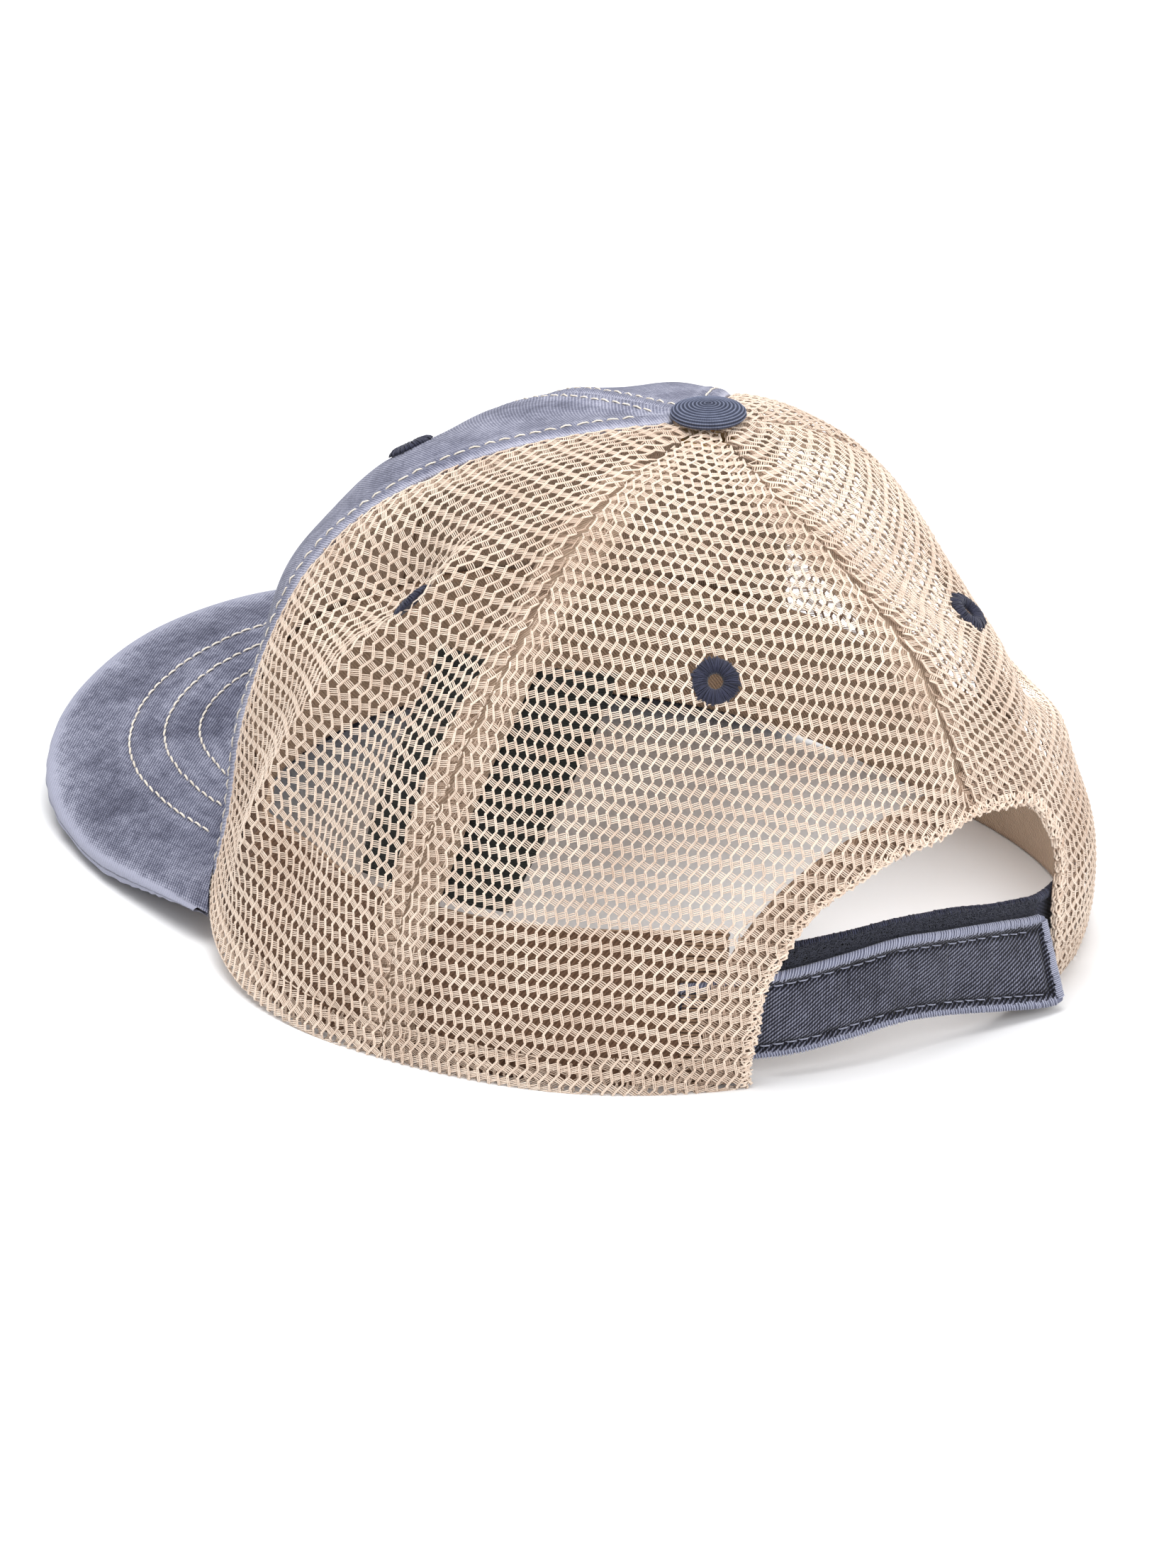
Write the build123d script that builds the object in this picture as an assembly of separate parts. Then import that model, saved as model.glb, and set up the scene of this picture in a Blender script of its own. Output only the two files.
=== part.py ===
from build123d import *
import os
import math
import numpy as np

# A six-panel cap with a curved bill and a strap across an arched rear opening.
# Frame: +Z up, bill towards -Y, wearer's left towards +X, the rear hem rests on z = 0.
# Millimetres and degrees. A place on the crown is an azimuth (0 at the front centre,
# turning towards the wearer's left) and a level (0 at the hem, 1 at the apex).
# A depth is measured inwards from the crown's outer surface.

# ---------------------------------------------------------------- crown surface
# Control net: one entry per column round the head from the front centre, each
# listing (x, y, z) from the hem upwards. Every column ends at the apex.
APEX = (-6.7, 11.1, 111.0)
CROWN_NET = [
    [(-9.0, -91.9, 14.1), (-7.1, -91.5, 20.7), (-5.4, -89.8, 38.5), (-4.1, -79.3, 65.3),
     (-3.5, -63.6, 88.3), (-3.7, -37.9, 104.2), (-4.9, -16.9, 109.1)],
    [(16.6, -90.1, 14.6), (18.6, -89.9, 20.8), (19.9, -88.3, 38.6), (18.6, -78.3, 65.7),
     (15.4, -63.2, 88.9), (8.5, -37.8, 104.6), (2.2, -16.9, 109.1)],
    [(44.3, -80.0, 13.6), (45.7, -79.6, 19.9), (46.0, -78.2, 38.5), (42.0, -69.7, 66.3),
     (34.9, -56.4, 89.5), (21.0, -33.2, 104.7), (9.3, -14.1, 109.1)],
    [(70.5, -59.8, 11.4), (69.8, -58.9, 18.9), (68.2, -58.0, 39.1), (62.1, -52.8, 68.3),
     (51.5, -42.6, 90.8), (31.2, -23.5, 104.7), (14.9, -8.4, 109.1)],
    [(92.6, -33.8, 4.2), (86.6, -32.3, 16.4), (82.6, -31.8, 39.1), (73.7, -29.2, 69.0),
     (60.2, -22.9, 91.5), (36.5, -10.9, 105.2), (17.9, -1.0, 109.1)],
    [(96.9, -3.1, -1.0), (91.8, -3.8, 13.4), (87.4, -4.4, 37.2), (76.1, -3.3, 67.5),
     (61.0, -1.0, 91.0), (37.3, 2.1, 105.7), (18.5, 6.3, 109.2)],
    [(88.2, 30.0, -0.3), (88.5, 26.3, 11.6), (85.8, 24.4, 35.2), (73.6, 23.8, 65.5),
     (58.6, 21.3, 90.2), (36.3, 15.4, 106.2), (18.3, 13.5, 109.3)],
    [(73.0, 59.2, -0.6), (73.5, 56.5, 10.8), (71.8, 54.8, 33.9), (62.3, 50.6, 64.8),
     (50.3, 43.0, 89.9), (31.3, 29.4, 106.1), (15.6, 21.4, 109.3)],
    [(48.2, 78.8, -0.5), (48.1, 79.6, 10.7), (47.0, 79.1, 33.9), (41.8, 71.9, 65.2),
     (34.8, 60.4, 89.8), (22.1, 41.1, 105.4), (10.7, 28.3, 109.2)],
    [(18.4, 88.5, -0.5), (17.8, 91.7, 10.9), (17.0, 92.6, 34.3), (15.7, 84.4, 65.7),
     (14.9, 70.6, 89.6), (11.7, 47.3, 104.0), (5.4, 31.7, 108.9)],
    [(-9.4, 90.1, -0.5), (-10.5, 94.0, 10.8), (-11.0, 95.8, 34.0), (-8.8, 87.5, 65.2),
     (-4.2, 73.0, 89.0), (1.9, 48.2, 102.3), (0.0, 32.1, 108.7)],
    [(-34.8, 87.0, -0.5), (-35.8, 91.2, 10.1), (-34.9, 93.0, 32.5), (-28.6, 84.4, 62.7),
     (-20.1, 70.3, 86.9), (-10.2, 47.3, 102.6), (-7.6, 31.9, 108.9)],
    [(-58.0, 74.2, -0.5), (-58.8, 78.9, 9.3), (-56.6, 80.5, 30.5), (-45.7, 71.8, 59.5),
     (-35.0, 60.0, 84.9), (-22.8, 42.0, 103.1), (-16.0, 29.4, 109.0)],
    [(-76.0, 53.1, -0.5), (-75.4, 56.4, 8.2), (-71.8, 57.3, 28.9), (-59.7, 51.0, 58.4),
     (-48.9, 44.0, 85.3), (-33.4, 32.6, 104.0), (-22.6, 24.2, 109.1)],
    [(-84.8, 25.7, -0.5), (-83.0, 27.6, 8.1), (-79.7, 28.5, 29.3), (-69.8, 26.8, 60.2),
     (-58.6, 25.0, 87.0), (-39.5, 20.5, 104.4), (-25.8, 17.1, 109.1)],
    [(-85.5, -2.8, -0.6), (-83.9, -1.6, 9.5), (-81.3, -0.1, 31.2), (-72.5, 2.0, 61.7),
     (-60.5, 4.8, 87.0), (-40.1, 7.5, 103.6), (-26.1, 9.6, 109.0)],
    [(-83.7, -32.0, 1.7), (-82.6, -30.8, 11.9), (-80.5, -28.8, 33.2), (-71.9, -23.4, 62.7),
     (-59.5, -16.2, 86.8), (-39.2, -5.8, 103.0), (-25.4, 1.9, 108.9)],
    [(-74.5, -60.8, 4.1), (-73.6, -59.6, 13.6), (-71.7, -57.1, 34.3), (-63.8, -48.9, 63.1),
     (-52.7, -37.2, 86.7), (-34.8, -19.4, 103.0), (-22.9, -6.0, 108.9)],
    [(-56.7, -82.2, 6.4), (-55.6, -81.1, 15.1), (-53.8, -78.6, 35.0), (-47.6, -68.4, 63.3),
     (-39.3, -53.5, 86.8), (-26.4, -30.1, 103.1), (-18.1, -12.2, 108.9)],
    [(-33.3, -91.7, 10.4), (-31.8, -91.0, 18.0), (-30.0, -88.8, 36.7), (-26.2, -77.9, 64.2),
     (-21.7, -61.9, 87.4), (-15.3, -36.1, 103.4), (-11.6, -15.7, 109.0)],
]
NET = np.array([column + [APEX] for column in CROWN_NET])
COLUMNS, ROWS = NET.shape[:2]
KNOTS = np.concatenate([np.zeros(3), np.linspace(0, 1, ROWS - 2), np.ones(3)])
LEVELS = np.linspace(0, 1, 161)      # samples for finding a level


def row_weights(level):
    """Clamped cubic B-spline weights of the net's rows."""
    t = np.clip(level, 0, 1 - 1e-12)
    basis = [((t >= low) & (t < high)).astype(float) for low, high in zip(KNOTS, KNOTS[1:])]
    for degree in range(1, 4):
        raised = []
        for i in range(len(basis) - 1):
            total = 0 * t
            rise = KNOTS[i + degree] - KNOTS[i]
            fall = KNOTS[i + degree + 1] - KNOTS[i + 1]
            if rise > 0:
                total = total + (t - KNOTS[i]) / rise * basis[i]
            if fall > 0:
                total = total + (KNOTS[i + degree + 1] - t) / fall * basis[i + 1]
            raised.append(total)
        basis = raised
    return np.stack(basis, -1)


def crown(azimuth, level):
    """Points on the crown's outer surface: uniform cubic, periodic round the head."""
    azimuth, level = np.broadcast_arrays(azimuth, level)
    place = (azimuth.ravel() / 360.0) % 1.0 * COLUMNS
    column = np.floor(place).astype(int)
    f = place - column
    weights = [(1 - f)**3 / 6, (3 * f**3 - 6 * f**2 + 4) / 6,
               (-3 * f**3 + 3 * f**2 + 3 * f + 1) / 6, f**3 / 6]
    rows = row_weights(level.ravel())
    points = sum(weights[k][:, None]
                 * np.einsum("mj,mjc->mc", rows, NET[(column + k - 1) % COLUMNS])
                 for k in range(4))
    return points.reshape(azimuth.shape + (3,))


def normal(azimuth, level):
    """Outward unit normals, held just short of the apex where they degenerate."""
    level = np.minimum(level, 0.985)
    around = crown(azimuth + 0.2, level) - crown(azimuth - 0.2, level)
    upward = crown(azimuth, level + 0.004) - crown(azimuth, np.maximum(level - 0.004, 0))
    n = np.cross(around, upward)
    n /= np.linalg.norm(n, axis=-1, keepdims=True)
    outward = crown(azimuth, level) - np.array([0, 0, 30.0])
    return n * np.sign((n * outward).sum(-1, keepdims=True))


def arc_lengths(line):
    steps = np.linalg.norm(np.diff(line, axis=0), axis=1)
    return np.r_[0, np.cumsum(steps)]


def heights(line):
    return line[:, 2]


def find_level(azimuth, target, measure):
    """Level at which a measure of the wall's upward line reaches the target."""
    azimuth, target = np.broadcast_arrays(azimuth, target)
    found = np.zeros(azimuth.shape)
    for k in np.ndindex(azimuth.shape):
        found[k] = np.interp(target[k], measure(crown(azimuth[k], LEVELS)), LEVELS)
    return found


def arc_level(azimuth, arc):
    return find_level(azimuth, arc, arc_lengths)


def z_level(azimuth, z):
    return find_level(azimuth, z, heights)


def degrees_for(width, azimuth, level):
    """Angle about the apex that a width spans there, with the radius at least 3."""
    offset = crown(azimuth, level) - np.array(APEX)
    return np.degrees(width / np.maximum(np.hypot(offset[..., 0], offset[..., 1]), 3.0))


# ---------------------------------------------------------------- solid helpers
STANDING = (Align.CENTER, Align.CENTER, Align.MIN)
HANGING = (Align.CENTER, Align.CENTER, Align.MAX)


def grid(count_across, count_up):
    return np.meshgrid(np.linspace(0, 1, count_across), np.linspace(0, 1, count_up),
                       indexing="ij")


def surface(points):
    return Face.make_surface_from_array_of_points(
        [[Vector(*point) for point in row] for row in points], tol=5e-3)


def solid_between(outer, inner):
    """Closed solid between two matching grids of points."""
    outer_face, inner_face = surface(outer), surface(inner)
    faces = [outer_face, inner_face]
    for edge in outer_face.edges():
        middle = edge.position_at(0.5)
        match = min(inner_face.edges(), key=lambda e: (e.position_at(0.5) - middle).length)
        faces.append(Face.make_surface_from_curves(edge, match))
    solid = Solid(Shell(faces))
    if solid.volume < 0:
        solid = Solid(Shell([-face for face in faces]))
    return solid


def patch(azimuth, level, depth, thickness):
    """Piece of cloth that follows the crown at a depth below its surface."""
    p, n = crown(azimuth, level), normal(azimuth, level)
    return solid_between(p - depth * n, p - (depth + thickness) * n)


def block_below(z, height):
    return Pos(0, 0, z) * Box(400, 400, height, align=HANGING)


# ---------------------------------------------------------------- rear opening
ARCH_X = 0.5
ARCH_HALF_W = 40.5
ARCH_TOP = 46.0
ARCH_SIDE_POWER = 3.4    # superellipse powers across and upwards
ARCH_TOP_POWER = 2.4
ARCH_SKEW = 0.0039       # the opening stands higher towards the wearer's right
ARCH_FLOOR = -5.0


def arch_block(grow=0.0):
    """Block that fills the rear opening, widened and raised by grow."""
    points = []
    for k in range(41):
        c, s = math.cos(math.pi * k / 40), math.sin(math.pi * k / 40)
        dx = (ARCH_HALF_W + grow) * math.copysign(abs(c)**(2 / ARCH_SIDE_POWER), c)
        z = (ARCH_TOP + grow) * abs(s)**(2 / ARCH_TOP_POWER) * (1 - ARCH_SKEW * dx)
        points.append(Vector(ARCH_X + dx, 0, z))
    left, right = points[0], points[-1]
    left_foot = Vector(left.X, 0, ARCH_FLOOR)
    right_foot = Vector(right.X, 0, ARCH_FLOOR)
    outline = Wire([Spline(*points), Line(right, right_foot),
                    Line(right_foot, left_foot), Line(left_foot, left)])
    return Solid.extrude(Face(outline), Vector(0, 130, 0))


# ---------------------------------------------------------------- panels and eyelets
SEAM_FRONT = 60.0        # azimuth of the front to side seam
SEAM_BACK_RIM = 104.0    # azimuth of the side to back seam at the hem
SEAM_BACK_TOP = 120.0    # and at the apex
SEAM_GAP = 0.24          # clearance between neighbouring panels
TOP_LEVEL = 0.982        # where the panels stop, under the button
MESH_T = 1.0             # side and back panels
DENIM_T = 0.9            # front panels
LINING_T = 0.5           # backing behind each front panel
LINING_DEPTH = 1.15
LINING_FOOT = 3.0        # up the wall from the hem
LINING_TOP = 0.95        # level
LINING_GAP = 1.2
EYELET_R = 4.8
EYELET_HOLE_R = 1.6
EYELET_H = 2.2
EYELET_FILLET = 0.45
EYELET_Z = -0.6          # middle of the eyelet from the crown surface
EYELET_CLEAR = 0.1
# Panel pairs from front to back: name, azimuth of the left eyelet, its distance up the wall
PANEL_PAIRS = [("front", 35.0, 95.0), ("side", 89.5, 92.5), ("back", 144.5, 85.0)]


def seam(number, level):
    """Azimuth of a seam: 0 is the front centre, 6 the same seam a full turn on."""
    back = SEAM_BACK_RIM + (SEAM_BACK_TOP - SEAM_BACK_RIM) * level
    turn = (0, SEAM_FRONT, back, 180, 360 - back, 360 - SEAM_FRONT, 360)
    return turn[number] + 0 * level


def sector_patch(sector, depth, thickness, foot=0.0, gap=SEAM_GAP, top=TOP_LEVEL):
    """Patch between seams sector and sector + 1, from foot mm up the wall."""
    across, up = grid(22, 26)
    first = across[:, :1]
    start = arc_level(seam(sector, 0) * (1 - first) + seam(sector + 1, 0) * first, foot)
    level = start + up * (top - start)
    a, b = seam(sector, level), seam(sector + 1, level)
    margin = degrees_for(gap / 2, (a + b) / 2, level)
    return patch(a + margin + (b - a - 2 * margin) * across, level, depth, thickness)


def mesh_panel(sector):
    solid = sector_patch(sector, 0.0, MESH_T) - block_below(0, 20)
    if sector in (2, 3):
        solid = solid - arch_block()
    return solid


def front_lining(sector):
    return sector_patch(sector, LINING_DEPTH, LINING_T,
                        foot=LINING_FOOT, gap=LINING_GAP, top=LINING_TOP)


def eyelet():
    ring = Cylinder(EYELET_R, EYELET_H) - Cylinder(EYELET_HOLE_R, 3)
    outer_rims = ring.edges().filter_by(GeomType.CIRCLE).group_by(Axis.Z)[-1]
    return Pos(0, 0, EYELET_Z) * fillet(outer_rims, EYELET_FILLET)


def wall_frame(azimuth, arc):
    """Plane on the crown surface, facing outwards."""
    level = arc_level(azimuth, arc)
    return Plane(origin=Vector(*crown(azimuth, level)), z_dir=Vector(*normal(azimuth, level)))


parts = {}
for i, (place, left_azimuth, arc) in enumerate(PANEL_PAIRS):
    for side, sector, azimuth in (("left", i, left_azimuth),
                                  ("right", 5 - i, 360 - left_azimuth)):
        frame = wall_frame(azimuth, arc)
        hole = frame * Cylinder(EYELET_R + EYELET_CLEAR, 12)
        if place == "front":
            panel = sector_patch(sector, 0.0, DENIM_T)
            parts[f"front_lining_{side}"] = front_lining(sector) - hole
        else:
            panel = mesh_panel(sector)
        parts[f"{place}_panel_{side}"] = panel - hole
        parts[f"eyelet_{place}_{side}"] = frame * eyelet()

# ---------------------------------------------------------------- tapes, sweatband, label
TAPE_T = 0.5
TAPE_W = 12.0
TAPE_DEPTH = 1.95
TAPE_FOOT = 2.5          # up the wall from the hem
TAPE_TOP = 0.925         # level
TAPE_MAX_HALF = 27.0     # degrees; the tapes narrow where the six meet
TAPE_NAMES = ["front_center", "front_left", "back_left",
              "rear_center", "back_right", "front_right"]     # by seam number
ARCH_TAPE_W = 9.0        # from the edge of the opening
ARCH_TAPE_INSET = 0.6
ARCH_TAPE_DEPTH = 1.2
ARCH_TAPE_FOOT_Z = 23.0
SWEAT_T = 0.9
SWEAT_DEPTH = 2.75
SWEAT_FOOT, SWEAT_TOP = 1.2, 34.0    # up the wall
SWEAT_END = 141.0        # azimuth where the sweatband stops, each side
LABEL_A, LABEL_B = 97.0, 130.0       # azimuths of the label's edges at its top
LABEL_LOW, LABEL_HIGH = 36.0, 87.0   # up the wall
LABEL_NARROW = 0.31      # share of that angle the label gives up at its foot
LABEL_DEPTH = 2.8
LABEL_T = 0.5


def seam_tape(number, foot):
    across, up = grid(7, 26)
    start = arc_level(seam(number, 0.2), foot)
    level = start + up * (TAPE_TOP - start)
    middle = seam(number, level)
    half = np.minimum(degrees_for(TAPE_W / 2, middle, level), TAPE_MAX_HALF)
    return patch(middle - half + 2 * half * across, level, TAPE_DEPTH, TAPE_T)


def rear_arch_tape():
    across, up = grid(40, 12)
    azimuth = 132 + 96 * across
    band = patch(azimuth, z_level(azimuth, 2 + 64 * up), ARCH_TAPE_DEPTH, TAPE_T)
    border = arch_block(grow=ARCH_TAPE_W) - arch_block(grow=ARCH_TAPE_INSET)
    return (band & border) - block_below(ARCH_TAPE_FOOT_Z, 60)


def sweatband():
    across, up = grid(64, 8)
    azimuth = -SWEAT_END + 2 * SWEAT_END * across
    level = arc_level(azimuth, SWEAT_FOOT + (SWEAT_TOP - SWEAT_FOOT) * up)
    return patch(azimuth, level, SWEAT_DEPTH, SWEAT_T) - block_below(0, 20)


def inner_label():
    across, up = grid(12, 14)
    azimuth = LABEL_A + (LABEL_B - LABEL_A) * across * (1 - LABEL_NARROW * (1 - up))
    level = arc_level(azimuth, LABEL_LOW + (LABEL_HIGH - LABEL_LOW) * up)
    return patch(azimuth, level, LABEL_DEPTH, LABEL_T)


for number, name in enumerate(TAPE_NAMES):
    foot = ARCH_TOP + 4.0 if name == "rear_center" else TAPE_FOOT
    parts["seam_tape_" + name] = seam_tape(number, foot)
parts["rear_arch_tape"] = rear_arch_tape()
parts["sweatband"] = sweatband()
parts["inner_label"] = inner_label()

# ---------------------------------------------------------------- top button
BUTTON_R = 7.8
BUTTON_H = 2.4
BUTTON_LIFT = 1.1        # the cap of the button stands on a short shank
BUTTON_DOME_R = 20.0
BUTTON_FILLET = 0.45
SHANK_R = 5.4
SHANK_Z = 0.2
BUTTON_BORE_R = 1.55
RIVET_R, RIVET_L, RIVET_Z = 1.45, 6.3, -1.15
WASHER_R, WASHER_HOLE_R, WASHER_T, WASHER_Z = 6.0, 1.5, 0.8, -3.6


def top_button():
    """Domed cap on a shank, bored from below; z = 0 is the apex."""
    cap = (Pos(0, 0, BUTTON_LIFT) * Cylinder(BUTTON_R, 6, align=STANDING)
           & Pos(0, 0, BUTTON_LIFT + BUTTON_H - BUTTON_DOME_R) * Sphere(BUTTON_DOME_R))
    cap = fillet(cap.edges().group_by(Axis.Z)[0], BUTTON_FILLET)
    button = cap + Pos(0, 0, SHANK_Z) * Cylinder(SHANK_R, BUTTON_LIFT, align=STANDING)
    return button - Cylinder(BUTTON_BORE_R, 4.4)


def button_washer():
    return Pos(0, 0, WASHER_Z) * (Cylinder(WASHER_R, WASHER_T) - Cylinder(WASHER_HOLE_R, 2))


parts["top_button"] = Pos(*APEX) * top_button()
parts["button_rivet"] = Pos(*APEX) * Pos(0, 0, RIVET_Z) * Cylinder(RIVET_R, RIVET_L)
parts["button_washer"] = Pos(*APEX) * button_washer()

# ---------------------------------------------------------------- bill
BILL_ROOT = 66.0         # azimuth of the bill's corners on the crown
BILL_ROOT_GAP = 0.6
BILL_HALF_W = 82.7
BILL_TIP_Y = -152.5
BILL_TIP_Z = 17.6
BILL_SIDE_Z = 1.8
BILL_BULGE = 1.8         # rise midway from root to edge
BILL_SIDE_POWER, BILL_TIP_POWER = 2.0, 3.5    # superellipse powers of the edge
BILL_SPAN = 0.93         # share of the way to the corners that is built
BOARD_T = 1.7
COVER_T = 0.7
COVER_GAP = 0.05


def bill_root(side):
    """Line along the hem; side runs from -1 (right corner) to 1 (left corner)."""
    azimuth = BILL_ROOT * side
    return crown(azimuth, 0) + BILL_ROOT_GAP * normal(azimuth, 0) * np.array([1, 1, 0])


def bill_edge(side):
    """Outer edge, drawn in to the corners over its last fifth."""
    angle = side * np.pi / 2
    s = np.sign(side) * np.abs(np.sin(angle))**(2 / BILL_SIDE_POWER)
    c = np.cos(angle)**(2 / BILL_TIP_POWER)
    corner = np.where((side > 0)[..., None], crown(BILL_ROOT, 0), crown(-BILL_ROOT, 0))
    edge = np.stack([BILL_HALF_W * s,
                     corner[..., 1] + (BILL_TIP_Y - corner[..., 1]) * c,
                     BILL_TIP_Z - (BILL_TIP_Z - BILL_SIDE_Z) * s**2], -1)
    blend = np.clip((np.abs(side) - 0.80) / 0.20, 0, 1)**2
    blend = blend[..., None] * np.array([1, 0, 1])
    return edge * (1 - blend) + corner * blend


def bill_layer(bottom, thickness, reach=1.0):
    """Layer of the bill, from bottom upwards about its middle surface."""
    across, out = grid(48, 12)
    side = (2 * across - 1) * BILL_SPAN
    out = 0.004 + (reach - 0.004) * out
    root = bill_root(side)
    p = root + (bill_edge(side) - root) * out[..., None]
    p[..., 2] += BILL_BULGE * np.sin(np.pi * out) * (1 - side**2)
    up = np.array([0, 0, 1.0])
    return solid_between(p + (bottom + thickness) * up, p + bottom * up)


parts["bill_board"] = bill_layer(-BOARD_T / 2, BOARD_T, reach=0.985)
parts["bill_top_cover"] = bill_layer(BOARD_T / 2 + COVER_GAP, COVER_T)
parts["bill_under_cover"] = bill_layer(-BOARD_T / 2 - COVER_GAP - COVER_T, COVER_T)

# ---------------------------------------------------------------- closure
STRAP_X = [53.5, 30.0, 17.0, 4.5, -8.0, -20.0, -31.0]    # segment joints, root to free end
UNDER_X = [-50.0, -30.0, -15.0, 0.0, 15.0, 36.0]         # under strap joints
SEGMENT_GAP = 0.6
STRIP_INSET = 0.2        # strips stop short of their segment at each end
STRIP_GAP = 0.04         # between a strip and its strap
STRAP_T, HOOK_T, LOOP_T, UNDER_T = 1.0, 0.5, 0.6, 0.8
STRAP_DEPTH = 1.35
HOOK_DEPTH = STRAP_DEPTH + STRAP_T + STRIP_GAP
LOOP_DEPTH = HOOK_DEPTH + HOOK_T + 0.16
UNDER_DEPTH = LOOP_DEPTH + LOOP_T + STRIP_GAP
STRAP_LOW = 1.4
STRAP_HIGH = STRAP_LOW + 19.5
HOOK_MARGIN = 1.5
UNDER_LOW = STRAP_LOW + 0.6
UNDER_HIGH = STRAP_HIGH + 1.8
LOOP_LOW = UNDER_LOW + 0.4

# Rear wall at z = 10, for turning x into an azimuth
REAR_AZIMUTH = np.linspace(130, 230, 401)
REAR_X = crown(REAR_AZIMUTH, z_level(REAR_AZIMUTH, 10.0))[:, 0]


def strap_piece(left_x, right_x, depth, thickness, low, high):
    across, up = grid(8, 4)
    a, b = np.interp([-left_x, -right_x], -REAR_X, REAR_AZIMUTH)
    azimuth = a + (b - a) * across
    return patch(azimuth, z_level(azimuth, low + (high - low) * up), depth, thickness)


def add_strap(strap, strip, joints, strap_size, strip_size):
    """Row of segments, all but the first with a strip; sizes as in strap_piece."""
    half_gap = math.copysign(SEGMENT_GAP / 2, joints[1] - joints[0])
    starts = joints[:1] + [x + half_gap for x in joints[1:-1]]
    ends = [x - half_gap for x in joints[1:-1]] + joints[-1:]
    for number, span in enumerate(zip(starts, ends), 1):
        left, right = max(span), min(span)
        parts[f"{strap}_{number}"] = strap_piece(left, right, *strap_size)
        if number > 1:
            parts[f"{strip}_{number}"] = strap_piece(
                left - STRIP_INSET, right + STRIP_INSET, *strip_size)


add_strap("closure_strap", "hook_strip", STRAP_X,
          (STRAP_DEPTH, STRAP_T, STRAP_LOW, STRAP_HIGH),
          (HOOK_DEPTH, HOOK_T, STRAP_LOW + HOOK_MARGIN, STRAP_HIGH - HOOK_MARGIN))
add_strap("under_strap", "loop_strip", UNDER_X,
          (UNDER_DEPTH, UNDER_T, UNDER_LOW, UNDER_HIGH),
          (LOOP_DEPTH, LOOP_T, LOOP_LOW, UNDER_HIGH))

os.makedirs("parts", exist_ok=True)
for name, shape in parts.items():
    export_step(shape, f"parts/{name}.step")
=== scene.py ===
"""A six-panel cap: two denim front panels, four knitted mesh panels, a denim bill and a rear
strap closure.

The bill points to -Y, +X is the wearer's left and +Z is up, with the hem close to z = 0.
Shapes are worked out in millimetres and scaled to metres when a mesh is built. A place on
the crown is an azimuth (degrees from the front towards the wearer's left) and a level (0 at
the hem, 1 at the top). Panel k lies between seams k and k + 1, counted by azimuth.
"""

import math

import bpy
import numpy as np
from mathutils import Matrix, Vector
from mathutils.bvhtree import BVHTree
from mathutils.kdtree import KDTree


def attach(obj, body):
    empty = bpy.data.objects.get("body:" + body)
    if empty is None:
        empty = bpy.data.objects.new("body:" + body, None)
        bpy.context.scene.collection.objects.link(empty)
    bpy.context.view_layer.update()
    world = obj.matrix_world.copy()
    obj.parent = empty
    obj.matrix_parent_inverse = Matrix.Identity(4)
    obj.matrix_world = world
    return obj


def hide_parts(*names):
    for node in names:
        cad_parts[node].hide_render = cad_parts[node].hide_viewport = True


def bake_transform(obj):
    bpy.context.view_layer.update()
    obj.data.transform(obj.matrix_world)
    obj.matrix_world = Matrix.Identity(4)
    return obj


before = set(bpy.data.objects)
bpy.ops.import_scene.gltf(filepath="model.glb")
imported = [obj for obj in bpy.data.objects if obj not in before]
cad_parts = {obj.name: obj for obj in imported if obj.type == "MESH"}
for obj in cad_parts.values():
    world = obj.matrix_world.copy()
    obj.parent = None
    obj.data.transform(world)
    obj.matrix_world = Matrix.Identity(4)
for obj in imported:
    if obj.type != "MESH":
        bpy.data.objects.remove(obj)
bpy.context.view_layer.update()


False  # every piece is built in full, quick or not
RNG = np.random.default_rng(20261)
MM = 0.001

# ------------------------------------------------------------------ the crown's surface
APEX = (-6.7, 11.1, 111.0)
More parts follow.
